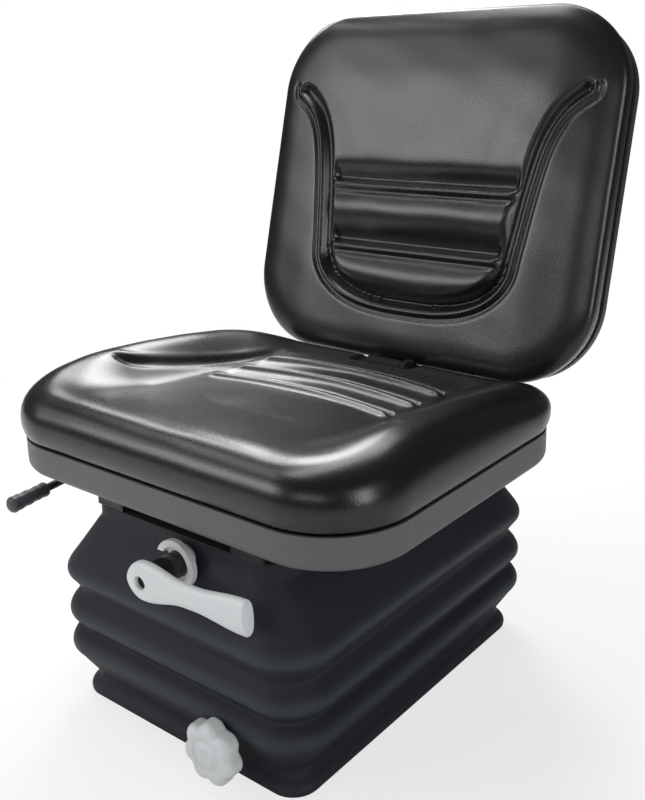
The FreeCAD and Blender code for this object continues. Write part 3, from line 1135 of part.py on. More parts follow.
def main():
    shaft_reach = "roller_inner_x + roller_width"
    middle_y = "(pivot_front_y + pivot_rear_y) / 2"
    middle_z = "(pivot_low_z + pivot_top_z) / 2"
    lug_out = "outer_arm_x + arm_plate / 2 + side_gap + plate * 1.4"
    upper_lug_out = "inner_arm_x + arm_plate / 2 + side_gap + plate * 1.4"
    crank_bush, crank_bolt = crank_small_parts()
    height_spindle, knob_bush, height_stop = knob_parts()
    damper_tube, damper_rod, damper_lower_pin, damper_upper_pin = damper_parts()
    buffer = rod("buffer_side", "buffer_diameter", "buffer_height", "outer_arm_x", "buffer_y", "plate")
    nodes = {
        "base_frame": base_frame(),
        "base_roller_tracks": track("base_roller_tracks", "pivot_low_z", "plate",
                                    "pivot_low_z + roller_diameter / 2 + track_gap / 2"),
        "lower_hinge_pins": pin_pair("lower_hinge_pins", "outer_arm_x - arm_plate / 2 - 3", lug_out,
                                     "pivot_front_y", "pivot_low_z"),
        "travel_buffers": both_sides("travel_buffers", buffer),
        "knob_bush": knob_bush,
        "bellows": bellows(),
        "damper_tube": damper_tube,
        "damper_lower_pin": damper_lower_pin,
        "height_knob": height_knob(),
        "height_spindle": height_spindle,
        "height_stop": height_stop,
        "outer_scissor_arms": scissor_frame("outer_scissor_arms", "outer_arm_x", "pivot_low_z",
                                            "pivot_top_z", "cross_tube_reach", "running", "firm"),
        "upper_roller_shaft": shaft("upper_roller_shaft", shaft_reach, "pivot_rear_y", "pivot_top_z"),
        "scissor_centre_pin": shaft("scissor_centre_pin", "outer_arm_x + arm_plate / 2 + 2", middle_y,
                                    middle_z),
        "upper_rollers": rollers("upper_rollers", "pivot_top_z"),
        "inner_scissor_arms": scissor_frame("inner_scissor_arms", "inner_arm_x", "pivot_top_z",
                                            "pivot_low_z", "cross_tube_reach", "running", "firm"),
        "lower_roller_shaft": shaft("lower_roller_shaft", shaft_reach, "pivot_rear_y", "pivot_low_z"),
        "lower_rollers": rollers("lower_rollers", "pivot_low_z"),
        "upper_frame": upper_frame(),
        "upper_roller_tracks": track(
            "upper_roller_tracks", "pivot_top_z", "pivot_top_z - roller_diameter / 2 - track_gap / 2",
            "upper_top_z - plate - pivot_top_z + roller_diameter / 2 + track_gap / 2"),
        "upper_hinge_pins": pin_pair("upper_hinge_pins", "inner_arm_x - arm_plate / 2 - 3",
                                     upper_lug_out, "pivot_front_y", "pivot_top_z"),
        "crank_bush": crank_bush,
        "crank_bezel": crank_bezel(),
        "damper_upper_pin": damper_upper_pin,
        "damper_rod": damper_rod,
        "lower_rail_right": lower_rail("lower_rail_right", "-rail_x"),
        "lower_rail_left": lower_rail("lower_rail_left", "rail_x"),
        "spring_yoke": spring_yoke(),
        "tension_springs": tension_springs(),
        "crank_spindle": crank_spindle(),
        "crank_hub": crank_hub(),
        "crank_handle": crank_handle(),
        "crank_bolt": crank_bolt,
        "upper_rail_right": upper_rail("upper_rail_right", "-rail_x"),
        "upper_rail_left": upper_rail("upper_rail_left", "rail_x"),
        "front_cross_bar": front_cross_bar(),
        "pan_bolts": pan_bolts(),
        "seat_pan": seat_pan(),
        "seat_cushion": seat_cushion(),
        "backrest_bracket_lower": bracket_lower(),
        "backrest_hinge_pin": hinge_pin(),
        "bracket_bolts": bracket_bolts(),
        "lever_pivot": lever_pivot(),
        "slide_lever": slide_lever(),
        "slide_lever_grip": slide_lever_grip(),
        "backrest_bracket_upper": backrest_bracket(),
        "backrest_shell": backrest_shell(),
        "backrest_cushion": backrest_cushion(),
        "backrest_bolts": backrest_bolts(),
    }
    for name, piece in nodes.items():
        piece.Label = name
    doc.recompute()
    faults = [o.Name for o in doc.Objects if "Invalid" in o.State or "Error" in o.State]
    for name, piece in nodes.items():
        if piece.Shape.isNull() or not piece.Shape.isValid():
            faults.append(name)
    if faults:
        raise RuntimeError("failed: " + ", ".join(faults))
    os.makedirs("parts", exist_ok=True)
    for name, piece in nodes.items():
        piece.Shape.exportStep("parts/%s.step" % name)


main()
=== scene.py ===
"""Tractor suspension seat: looks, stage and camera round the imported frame.

Metres, +Z up, the sitter faces -Y.
"""

import json
import math

import bpy
import numpy as np
from mathutils import Matrix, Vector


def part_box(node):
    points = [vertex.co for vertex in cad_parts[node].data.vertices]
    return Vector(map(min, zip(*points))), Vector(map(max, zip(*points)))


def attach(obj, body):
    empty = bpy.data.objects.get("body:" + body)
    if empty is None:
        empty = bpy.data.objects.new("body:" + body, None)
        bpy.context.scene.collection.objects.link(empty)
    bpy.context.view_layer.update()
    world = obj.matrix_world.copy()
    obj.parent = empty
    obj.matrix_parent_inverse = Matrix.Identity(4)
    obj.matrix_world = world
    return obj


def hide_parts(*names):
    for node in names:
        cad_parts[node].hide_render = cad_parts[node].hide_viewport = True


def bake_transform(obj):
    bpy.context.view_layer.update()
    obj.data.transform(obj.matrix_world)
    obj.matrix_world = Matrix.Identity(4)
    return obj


bl_info = {
    "name": "Suspension Seat",
    "version": (1, 0, 0),
    "blender": (4, 5, 0),
    "location": "View3D > Sidebar > Seat",
    "description": "Cushions, bellows, controls and finishes for a tractor suspension seat",
    "category": "Object",
}

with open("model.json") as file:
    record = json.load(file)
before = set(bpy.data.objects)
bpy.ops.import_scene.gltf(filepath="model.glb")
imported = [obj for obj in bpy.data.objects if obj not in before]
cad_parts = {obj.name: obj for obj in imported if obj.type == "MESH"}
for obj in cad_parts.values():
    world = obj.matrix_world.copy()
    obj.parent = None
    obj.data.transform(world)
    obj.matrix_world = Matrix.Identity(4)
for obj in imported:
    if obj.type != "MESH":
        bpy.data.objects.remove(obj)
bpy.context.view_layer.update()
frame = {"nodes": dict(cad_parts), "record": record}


def node_box(name):
    """The low and the high corner of one of the frame's nodes."""
    low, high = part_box(name)
    return np.array(low), np.array(high)


PAN_LOW, PAN_HIGH = node_box("seat_pan")
PAN_SIZE = (PAN_HIGH - PAN_LOW).tolist()
BELLOWS_LOW, BELLOWS_HIGH = node_box("bellows")
BELLOWS_SIZE = (BELLOWS_HIGH - BELLOWS_LOW).tolist()
BASE_HIGH = node_box("base_frame")[1]
UPPER_HIGH = node_box("upper_frame")[1]


def length(name, description, default):
    """A size in metres that the user can change."""
    return bpy.props.FloatProperty(name=name, description=description, default=default,
                                   unit="LENGTH", precision=4)


def number(name, description, default):
    """A whole number that the user can change."""
    return bpy.props.IntProperty(name=name, description=description, default=default, min=1)


def colour(name, description, default):
    """A linear colour that the user can change."""
    return bpy.props.FloatVectorProperty(name=name, description=description, default=default, size=3,
                                         subtype="COLOR", min=0.0, max=1.0)


class SeatSizes(bpy.types.PropertyGroup):
    """Sizes of the pieces that are modelled here, with their defaults from the frame where one fits."""

    pan_width: length("Pan width", "Width of the seat pan", PAN_SIZE[0])
    pan_depth: length("Pan depth", "Front to rear size of the seat pan", PAN_SIZE[1])
    pan_corner: length("Pan corner", "Corner radius of the pan and its cushion", 0.085)
    seam_gap: length("Seam gap", "Dark gap between the pan's rim and the cushion", 0.003)
    cushion_bulge: length("Cushion bulge", "How far the cushion's side swells past the pan", 0.004)
    cushion_roll: length("Cushion roll", "Inset over which the cushion's side rolls onto its top", 0.046)
    side_widest: length("Side's widest height", "Height above the seam at which the side swells most", 0.016)
    bolster_height: length("Bolster height", "Height of the side bolsters above the seam", 0.0635)
    rear_drop: length("Rear drop", "How much lower the bolsters end at the rear", 0.0312)
    front_drop: length("Front drop", "How much the bolsters drop towards the front roll", 0.009)
    seat_dish: length("Seat dish", "Depth of the seat between its bolsters at mid depth", 0.032)
    dish_inner: length("Dish's flat half width", "Half width of the level part of the dish", 0.125)
    dish_outer: length("Dish's half width", "Half width at which the dish meets the bolsters' crest", 0.206)
    ridge_count: number("Ridges", "How many ridges cross the seat", 3)
    ridge_half: length("Ridge half width", "Half the length of the ridges across the seat", 0.128)
    ridge_first: length("First ridge", "Place of the front ridge's valley, in the frame's y", 0.001)
    ridge_pitch: length("Ridge pitch", "Distance between two ridges", 0.0485)
    ridge_bow: length("Ridge bow", "How far a ridge's middle lies behind its ends", 0.020)
    ridge_depth: length("Ridge depth", "Depth of the valley behind a ridge", 0.0074)
    back_width: length("Backrest width", "Width of the backrest cushion", 0.481)
    back_height: length("Backrest height", "Height of the backrest cushion along its face", 0.4315)
    back_corner: length("Backrest corner", "Corner radius of the backrest's outline", 0.099)
    back_pad: length("Backrest pad", "Thickness of the pad in front of the shell", 0.042)
    back_roll: length("Backrest roll", "Inset over which the backrest's edge rolls onto its face", 0.040)
    groove_depth: length("Groove depth", "Depth of the moulded grooves beside the beads", 0.0085)
    tip_width: length("Bellows width", "Width of the bellows over its folds", BELLOWS_SIZE[0])
    tip_depth: length("Bellows depth", "Depth of the bellows over its folds", BELLOWS_SIZE[1])
    tip_corner: length("Fold corner", "Corner radius of the bellows at its folds", 0.049)
    bellows_wall: length("Bellows wall", "Thickness of the rubber", 0.0024)
    handle_root: length("Handle root", "Radius of the crank handle's root", 0.0195)
    handle_waist: length("Handle waist", "Half height of the crank handle's waist", 0.0115)
    handle_tip: length("Handle end", "Half height of the crank handle's flared end", 0.017)
    handle_short: length("Handle's shortening", "How far the end stops before the frame's own handle", 0.010)
    handle_rise: bpy.props.FloatProperty(name="Handle rise", description="Upward tilt of the crank handle",
                                         default=math.radians(3.0), subtype="ANGLE")
    socket_radius: length("Socket radius", "Radius of the socket round the crank's bolt", 0.0064)
    socket_depth: length("Socket depth", "Depth of the socket round the crank's bolt", 0.0085)
    grip_tip: length("Grip tip", "Radius of the lever's grip at its tip", 0.0092)
    grip_rear: length("Grip rear", "Radius of the lever's grip at its rear end", 0.0076)
    notch_half: length("Notch half width", "Half width of the notch in the cushion's rear edge", 0.042)
    notch_reach: length("Notch reach", "How far the notch reaches in from the rear edge", 0.026)
    knob_lobes: number("Knob lobes", "How many lobes the star knob has", 7)


class SeatColours(bpy.types.PropertyGroup):
    """Base colours of the finishes, as linear values."""

    vinyl: colour("Vinyl", "Black satin vinyl of the cushions", (0.0050, 0.0053, 0.0064))
    pan: colour("Pan", "Dark grey grained plastic of the pan", (0.100, 0.104, 0.108))
    shell: colour("Shell", "Dark plastic of the backrest's shell", (0.035, 0.036, 0.038))
    rubber: colour("Rubber", "Blue-black rubber of the bellows", (0.0100, 0.0121, 0.0160))
    light_plastic: colour("Light plastic", "Pale grey plastic of the controls", (0.68, 0.70, 0.71))
    grip: colour("Grip", "Dark grey plastic of the lever's grip", (0.045, 0.047, 0.052))
    black_paint: colour("Black paint", "Satin black paint of the brackets", (0.016, 0.016, 0.018))
    phosphate: colour("Phosphate", "Dark phosphate coat of rails and tracks", (0.03, 0.03, 0.033))
    zinc: colour("Zinc", "Bright zinc of pins and screws", (0.55, 0.56, 0.58))
    nylon: colour("Nylon", "Natural nylon of bushes and rollers", (0.72, 0.70, 0.64))
    backdrop: colour("Backdrop", "Floor and background", (0.9, 0.9, 0.9))


def sizes():
    """The sizes as the user has set them."""
    return bpy.context.scene.seat_sizes


def colours():
    """The colours as the user has set them."""
    return bpy.context.scene.seat_colours


# Surfaces from numpy grids


def smoothstep(value, low, high):
    """0 below low, 1 above high, and 3t^2 - 2t^3 between them, where t runs from 0 to 1."""
    share = np.clip((value - low) / (high - low), 0.0, 1.0)
    return share * share * (3.0 - 2.0 * share)


def bump(value, centre, width):
    """A bell: e to the power of minus the square of the distance from the centre over the width."""
    return np.exp(-(((value - centre) / width) ** 2))


def run_length(line):
    """The length along a line up to each of its points."""
    return np.concatenate([[0.0], np.cumsum(np.linalg.norm(np.diff(line, axis=0), axis=1))])


def read_at(spaced, along, table):
    """The table's columns, read at the given lengths along it."""
    return np.stack([np.interp(spaced, along, column) for column in table.T], axis=1)


def rounded_outline(width, depth, corner, count):
    """Points and outward normals, evenly spaced by length, round a rectangle with circular corners.

    Each corner is its centre plus the radius times (cos a, sin a), with a running through a quarter turn.
    """
    dense = []
    headings = []
    arc = np.linspace(0.0, math.pi / 2, 49)
    for turn, (sx, sy) in enumerate(((1, 1), (-1, 1), (-1, -1), (1, -1))):
        angle = arc + turn * math.pi / 2
        centre = np.array([sx * (width / 2 - corner), sy * (depth / 2 - corner)])
        dense.append(centre + corner * np.stack([np.cos(angle), np.sin(angle)], axis=1))
        headings.append(angle)
    dense, headings = np.concatenate(dense), np.concatenate(headings)
    dense = np.concatenate([dense, dense[:1]])
    headings = np.append(headings, headings[0] + 2 * math.pi)
    along = run_length(dense)
    spaced = np.linspace(0.0, along[-1], count, endpoint=False)
    angle = np.interp(spaced, along, headings)
    return read_at(spaced, along, dense), np.stack([np.cos(angle), np.sin(angle)], axis=1)


def make_piece(name, finish, points, quads, triangles=None):
    """A smooth shaded mesh object from arrays of points, four-sided faces and three-sided faces."""
    mesh = bpy.data.meshes.new(name)
    mesh.vertices.add(len(points))
    mesh.vertices.foreach_set("co", np.ascontiguousarray(points, np.float32).ravel())
    triangles = np.zeros((0, 3), np.int32) if triangles is None else triangles
    corners = np.concatenate([quads.ravel(), triangles.ravel()]).astype(np.int32)
    starts = np.concatenate([np.arange(len(quads)) * 4, len(quads) * 4 + np.arange(len(triangles)) * 3])
    mesh.loops.add(len(corners))
    mesh.loops.foreach_set("vertex_index", corners)
    mesh.polygons.add(len(starts))
    mesh.polygons.foreach_set("loop_start", starts.astype(np.int32))
    mesh.update(calc_edges=True)
    mesh.validate()
    mesh.shade_smooth()
    mesh.materials.append(finish)
    piece = bpy.data.objects.new(name, mesh)
    bpy.context.scene.collection.objects.link(piece)
    return piece


def grid_faces(rows, columns, wrap_rows=False):
    """Faces of a grid of points whose columns close on themselves; wrap_rows closes the rows too."""
    row = np.arange(rows if wrap_rows else rows - 1)[:, None]
    column = np.arange(columns)[None, :]
    above, beside = (row + 1) % rows, (column + 1) % columns
    faces = (row * columns + column, row * columns + beside,
             above * columns + beside, above * columns + column)
    return np.stack([np.broadcast_to(f, (len(row), columns)) for f in faces], axis=-1).reshape(-1, 4)


def closed_by_poles(name, finish, rings):
    """A closed surface from rings of points: the first and the last ring close onto their mean points."""
    rings = np.stack(rings)
    rows, columns = rings.shape[:2]
    points = np.concatenate([rings.reshape(-1, 3), rings[0].mean(0)[None], rings[-1].mean(0)[None]])
    column = np.arange(columns)
    beside = (column + 1) % columns
    first, last = rows * columns, rows * columns + 1
    top = (rows - 1) * columns
    fans = np.concatenate([
        np.stack([beside, column, np.full(columns, first)], axis=1),
        np.stack([top + column, top + beside, np.full(columns, last)], axis=1),
    ])
    return make_piece(name, finish, points, grid_faces(rows, columns), fans)


def moulded_profile(distance):
    """Height across a moulded line: a deep groove, a bead beside it and a thin groove past the bead."""
    depth = sizes().groove_depth
    groove = -depth * bump(distance, 0.0, 0.0060)
    bead = 0.26 * depth * bump(distance, 0.0092, 0.0042)
    return groove + bead - 0.34 * depth * bump(distance, 0.0160, 0.0032)


def rolled_channel(above):
    """Height across a cross channel: the pad over it rolls down into a deep groove, with a bead below."""
    depth = sizes().groove_depth
    roll = -0.0112 * np.where(above > 0, np.exp(-np.abs(above / 0.0135) ** 1.6), bump(above, 0.0, 0.0050))
    bead = 0.30 * depth * bump(above, -0.0098, 0.0046)
    return roll + bead - 0.34 * depth * bump(above, -0.0170, 0.0034)


def evenly_along(line, count):
    """The line's points spaced evenly by length."""
    along = run_length(line)
    return read_at(np.linspace(0.0, along[-1], count), along, line)


def signed_distance(x, y, line):
    """Distance of each point to a line, negative on the right hand of its direction.

    The nearest of the line's points gives the distance; the sign is that of the cross product of the
    line's direction there with the way from the line to the point.
    """
    best = np.full(x.shape, 1e9)
    side = np.ones(x.shape)
    heading = np.gradient(line, axis=0)
    for (line_x, line_y), (head_x, head_y) in zip(line, heading):
        over_x, over_y = x - line_x, y - line_y
        away = over_x ** 2 + over_y ** 2
        nearer = away < best
        best = np.where(nearer, away, best)
        side = np.where(nearer, np.sign(head_x * over_y - head_y * over_x), side)
    return np.sqrt(best) * side


def ripple(x, y, size):
    """A slow unevenness of the foam: a few sines of different lengths and directions."""
    return size * (np.sin(37 * x + 11 * y + 1.3) * np.sin(29 * y - 7 * x + 0.4)
                   + 0.5 * np.sin(71 * x - 43 * y + 2.1) * np.sin(53 * y + 17 * x))


# Seat cushion


def seat_crease():
    """The left crease from its front end to its rear end: a parabola that flares outwards at the front."""
    share = np.linspace(0.0, 1.0, 90)
    across = 0.174 - 0.0588 * share + 0.0168 * share ** 2 + 0.009 * np.exp(-share / 0.07)
    return np.stack([across, -0.096 + 0.220 * share], axis=1)


def seat_top(x, y):
    """Height above the frame's origin of the cushion's top, in the frame's x and y.

    The bolsters' crest falls rearwards as a power and frontwards as a smooth step. Between the bolsters
    lies a dish, a parabola from front to rear that smooth steps fade out over the front roll and on each
    side. Bowed ridges cross it, each a bead with a valley behind it, and a crease runs along each
    bolster. In the middle of the rear edge smooth steps lower a notch to the side's widest height.
    """
    size = sizes()
    seam = PAN_HIGH[2] + size.seam_gap
    middle_y = (PAN_LOW[1] + PAN_HIGH[1]) / 2
    along = (y - middle_y) / size.pan_depth
    side = np.abs(x)
    crest = size.bolster_height - size.rear_drop * np.clip((along + 0.16) / 0.646, 0.0, None) ** 1.6
    crest = crest - size.front_drop * smoothstep(-4 * along - 0.76, 0.0, 1.0)
    dish = size.seat_dish * (1 - 3.1 * along ** 2) * smoothstep(along, -0.54, -0.16)
    height = seam + crest - dish * (1 - smoothstep(side, size.dish_inner, size.dish_outer))
    outward = signed_distance(side, y, seat_crease())
    fade = smoothstep(y, -0.106, -0.088) * (1 - smoothstep(y, 0.105, 0.135))
    depth = 0.0022 + 0.0024 * bump(y, -0.085, 0.022)
    height = height + fade * depth * (0.45 * bump(outward, -0.0105, 0.0055) - bump(outward, 0.0, 0.0070))
    inside = 1 - smoothstep(side, size.ridge_half - 0.012, size.ridge_half + 0.004)
    bow = size.ridge_bow * (1 - (x / size.ridge_half) ** 2)
    for ridge in range(size.ridge_count):
        bowed = y - size.ridge_first - ridge * size.ridge_pitch - bow
        valley = bump(bowed, 0.0, 0.0068) + 0.3 * bump(bowed, 0.012, 0.012)
        height = height + inside * size.ridge_depth * (0.62 * bump(bowed, -0.0125, 0.0070) - valley)
    notch_y = PAN_HIGH[1] - size.notch_reach
    notch = 1 - smoothstep(side, size.notch_half - 0.004, size.notch_half + 0.005)
    notch = notch * smoothstep(y, notch_y - 0.006, notch_y + 0.005)
    height = height - (height - seam - size.side_widest - 0.001) * notch
    return height + ripple(x, y, 0.0004)


def seat_cushion():
    """The seat cushion: insets of the pan's outline, rolled over a side that swells past the pan.

    Across the roll a point's inset grows as 1 - cos(a) and its height as sin(a), both eased; past the
    roll the rings shrink evenly to the middle and take the height of the top.
    """
    size = sizes()
    columns = 560
    outline, normal = rounded_outline(size.pan_width, size.pan_depth, size.pan_corner, columns)
    middle = np.array([0.0, (PAN_LOW[1] + PAN_HIGH[1]) / 2])
    seam = PAN_HIGH[2] + size.seam_gap
    widest = seam + size.side_widest
    rings = []

    def ring(flat, height):
        rings.append(np.concatenate([flat + middle, np.broadcast_to(height, (columns,))[:, None]], axis=1))

    plug = outline - 0.0045 * normal
    for share in (0.02, 0.5, 0.93, 1.0):
        ring(share * plug, PAN_HIGH[2] - 0.012)
    ring(plug, seam - 0.0008)
    for angle in np.linspace(-math.pi / 2, 0.0, 9)[:-1]:
        inset = -size.cushion_bulge + (size.cushion_bulge + 0.0015) * (1 - math.cos(angle)) ** 0.8
        ring(outline - inset * normal, widest + (widest - seam) * math.sin(angle))
    ease = 0.86
    for angle in np.linspace(0.0, math.pi / 2, 34):
        inset = -size.cushion_bulge + (size.cushion_roll + size.cushion_bulge) * (1 - math.cos(angle) ** ease)
        flat = outline - inset * normal
        top = seat_top(flat[:, 0] + middle[0], flat[:, 1] + middle[1])
        ring(flat, widest + (top - widest) * math.sin(angle) ** ease)
    inner = outline - size.cushion_roll * normal
    for share in np.linspace(1.0, 0.012, 104)[1:]:
        flat = share * inner
        ring(flat, seat_top(flat[:, 0] + middle[0], flat[:, 1] + middle[1]))
    piece = closed_by_poles("seat_cushion_cover", vinyl_finish(), rings)
    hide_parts("seat_cushion")
    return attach(piece, "seat")


# Backrest


# The middle of the face's lower edge, the way up the face and the way back through it
BACK_FOOT = np.array([0.0, 0.1776, 0.3082])
BACK_LEAN = math.radians(14.8)
BACK_UP = np.array([0.0, math.sin(BACK_LEAN), math.cos(BACK_LEAN)])
BACK_THROUGH = np.array([0.0, math.cos(BACK_LEAN), -math.sin(BACK_LEAN)])
# Up the face: the ends of the moulded U, the bend into its oval bottom and the two channels
U_TOP, U_BEND = 0.334, 0.135
CHANNELS = (0.2225, 0.1445)
# Half the U's width at the bend, and how far its bottom lies below the bend
U_HALF, U_DROP = 0.1295, 0.062


def back_line():
    """The moulded U of the backrest, from its left end to its right end, across and up the face.

    Its sides lean in towards the bottom, the ends splay outwards as a falling exponential, and the bottom
    is half of an oval whose powers below one make it squarish.
    """
    up = np.linspace(U_TOP, U_BEND, 80)
    side = U_HALF + 0.12 * (up - U_BEND) + 0.045 * np.exp(-(U_TOP - up) / 0.030)
    angle = np.linspace(0.0, math.pi, 400)[1:-1]
    oval_x = U_HALF * np.sign(np.cos(angle)) * np.abs(np.cos(angle)) ** 0.72
    oval_up = U_BEND - U_DROP * np.sin(angle) ** 0.95
    right = np.stack([side, up], axis=1)
    left = np.stack([-side, up], axis=1)[::-1]
    return evenly_along(np.concatenate([right, np.stack([oval_x, oval_up], axis=1), left]), 460)


def back_face(x, up):
    """How far the backrest's face lies in front of its flat middle plane, across x and up the face.

    Inside the U the face is dished, with a pillow, a bell up the face, below each channel; the channels
    and the U are moulded lines, and the face is tucked in above the U's bottom by a falling exponential.
    The line's direction runs down the positive side, so inside is negative.
    """
    outward = signed_distance(x, up, back_line())
    fade = 1.0 - smoothstep(up, 0.336, 0.346)
    height = moulded_profile(outward) * fade
    inside = smoothstep(-outward, 0.005, 0.015) * (1.0 - smoothstep(up, 0.30, 0.335))
    dish = smoothstep(-outward, -0.004, 0.06) * (1.0 - smoothstep(up, 0.245, 0.36))
    height = height - 0.0055 * dish
    tuck = np.where(outward < 0, np.exp(-np.abs(outward / 0.015) ** 1.6), 0.0)
    height = height - 0.0045 * tuck * (1.0 - smoothstep(up, 0.100, 0.150))
    for top in CHANNELS:
        height = height + rolled_channel(up - top) * inside
        height = height + 0.0050 * bump(up, top - 0.037, 0.021) * inside
    edge = smoothstep(np.abs(x), 0.15, 0.23)
    return height - 0.003 * edge + ripple(x, up, 0.0004)


def backrest_cushion():
    """The backrest cushion: insets of a rounded outline, rolled from the side wall onto the moulded face.

    On the wall and across the roll a point's inset grows as 1 - cos(a) and its depth as sin(a), both
    eased; past the roll the rings shrink evenly to the middle and take the depth of the face.
    """
    size = sizes()
    columns = 560
    outline, normal = rounded_outline(size.back_width, size.back_height, size.back_corner, columns)
    mid_up = size.back_height / 2
    rear = size.back_pad
    widest = 0.0165
    rings = []

    def ring(flat, depth):
        depth = np.broadcast_to(depth, (columns,))
        up = flat[:, 1] + mid_up
        across = np.stack([-flat[:, 0], np.zeros(columns), np.zeros(columns)], axis=1)
        rings.append(BACK_FOOT + across + up[:, None] * BACK_UP + depth[:, None] * BACK_THROUGH)

    plug = outline - 0.012 * normal
    for share in (0.02, 0.5, 0.9, 1.0):
        ring(share * plug, rear + 0.004)
    ring(outline - 0.0115 * normal, rear - 0.0005)
    for share in np.linspace(0.0, 1.0, 16):
        angle = (1 - share) * math.pi / 2
        inset = 0.0095 * (1 - math.cos(angle)) ** 0.9
        ring(outline - inset * normal, widest + (rear - 0.001 - widest) * math.sin(angle))
    ease = 0.82
    for angle in np.linspace(0.0, math.pi / 2, 30)[1:]:
        inset = size.back_roll * (1 - math.cos(angle) ** ease)
        flat = outline - inset * normal
        lift = back_face(flat[:, 0], flat[:, 1] + mid_up)
        ring(flat, widest - (lift + widest) * math.sin(angle) ** ease)
    inner = outline - size.back_roll * normal
    for share in np.linspace(1.0, 0.012, 108)[1:]:
        flat = share * inner
        ring(flat, -back_face(flat[:, 0], flat[:, 1] + mid_up))
    piece = closed_by_poles("backrest_cushion_cover", vinyl_finish(), rings)
    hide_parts("backrest_cushion")
    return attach(piece, "backrest")


# Bellows


# Heights of the outer folds above the floor
FOLD_HEIGHTS = (0.0646, 0.1022, 0.1493)


def bellows_profile():
    """Half width, half depth, corner and height of each crease, from the foot to the collar."""
    size = sizes()
    tip = np.array([size.tip_width / 2, size.tip_depth / 2])
    stand_off = 0.0028
    foot, collar = BASE_HIGH[:2] + stand_off, UPPER_HIGH[:2] + stand_off
    keys = [(*foot, 0.028, 0.0005), (*(foot + 0.0012), 0.029, 0.004), (*foot, 0.028, 0.009)]

    def inset(distance, height):
        keys.append((*(tip - distance), size.tip_corner - 0.9 * distance, height))

    inset(0.0235, 0.016)
    inset(0.0245, 0.024)
    for place, height in enumerate(FOLD_HEIGHTS):
        inset(0.0045, height - 0.0095)
        inset(0.0, height - 0.004)
        inset(-0.0004, height + 0.002)
        inset(0.0030, height + 0.0085)
        if place < len(FOLD_HEIGHTS) - 1:
            inset(0.0145, height + 0.46 * (FOLD_HEIGHTS[place + 1] - height))
    keys.append((*(collar + 0.0015), 0.030, 0.2095))
    keys.append((*collar, 0.0288, 0.2125))
    keys.append((*collar, 0.0288, BELLOWS_HIGH[2]))
    return np.array(keys)


def eased(keys, count, spread):
    """The key points joined by straight runs, sampled evenly and softened by a running weighted mean."""
    along = run_length(keys[:, [0, 3]])
    spaced = np.linspace(0.0, along[-1], count)
    dense = read_at(spaced, along, keys)
    reach = 12
    weights = np.exp(-((np.arange(-reach, reach + 1) * spaced[1] / spread) ** 2))
    weights /= weights.sum()
    padded = np.concatenate([np.repeat(dense[:1], reach, 0), dense, np.repeat(dense[-1:], reach, 0)])
    soft = np.stack([np.convolve(column, weights, "valid") for column in padded.T], axis=1)
    soft[0], soft[-1] = dense[0], dense[-1]
    return soft


def bellows():
    """A wall that is a rounded rectangle at every height, its size read from the eased profile.

    A sway outwards and a droop, both products of sines that fade at the foot and the collar, keep the
    rubber from being dead straight.
    """
    size = sizes()
    columns = 352
    outer = eased(bellows_profile(), 170, 0.0034)
    inner = outer[::-3].copy()
    inner[:, :2] -= size.bellows_wall
    inner[:, 2] = np.maximum(inner[:, 2] - size.bellows_wall, 0.012)
    rings = []
    for half_x, half_y, corner, height in np.concatenate([outer, inner]):
        flat, normal = rounded_outline(2 * half_x, 2 * half_y, corner, columns)
        sway = 0.0009 * math.sin(23 * height + 0.5) * np.sin(9 * flat[:, 0] - 13 * flat[:, 1])
        calm = math.sin(math.pi * min(max((height - 0.012) / 0.19, 0.0), 1.0))
        flat = flat + normal * (sway * calm)[:, None]
        droop = 0.0012 * calm * np.sin(11 * flat[:, 0] + 0.6) * np.cos(8 * flat[:, 1] + 40 * height)
        rings.append(np.concatenate([flat, (height + droop)[:, None]], axis=1))
    rings = np.stack(rings)
    faces = grid_faces(len(rings), columns, wrap_rows=True)
    piece = make_piece("bellows_wall", rubber_finish(), rings.reshape(-1, 3), faces)
    heights = rings[:, :, 2].ravel()
    # Painted highlight: the lip share marks each fold's lip and the foot, which the rubber finish paints
    # lighter as if lit from above
    lip = sum(bump(heights, fold + 0.001, 0.0062) for fold in FOLD_HEIGHTS)
    lip = lip + 0.5 * bump(heights, 0.006, 0.005)
    lip_highlight_attribute = piece.data.attributes.new("lip", "FLOAT", "POINT")
    lip_highlight_attribute.data.foreach_set("value", lip.astype(np.float32))
    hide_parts("bellows")
    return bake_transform(piece)


# Crank handle


def squarish_oval(half_thick, half_height, power, count):
    """Points evenly spaced by length round an oval whose cosine and sine are raised to a power below one."""
    angle = np.linspace(0.0, 2 * math.pi, 1441)
    over = np.sign(np.cos(angle)) * np.abs(np.cos(angle)) ** power * half_thick
    up = np.sign(np.sin(angle)) * np.abs(np.sin(angle)) ** power * half_height
    return evenly_along(np.stack([over, up], axis=1), count + 1)[:-1]


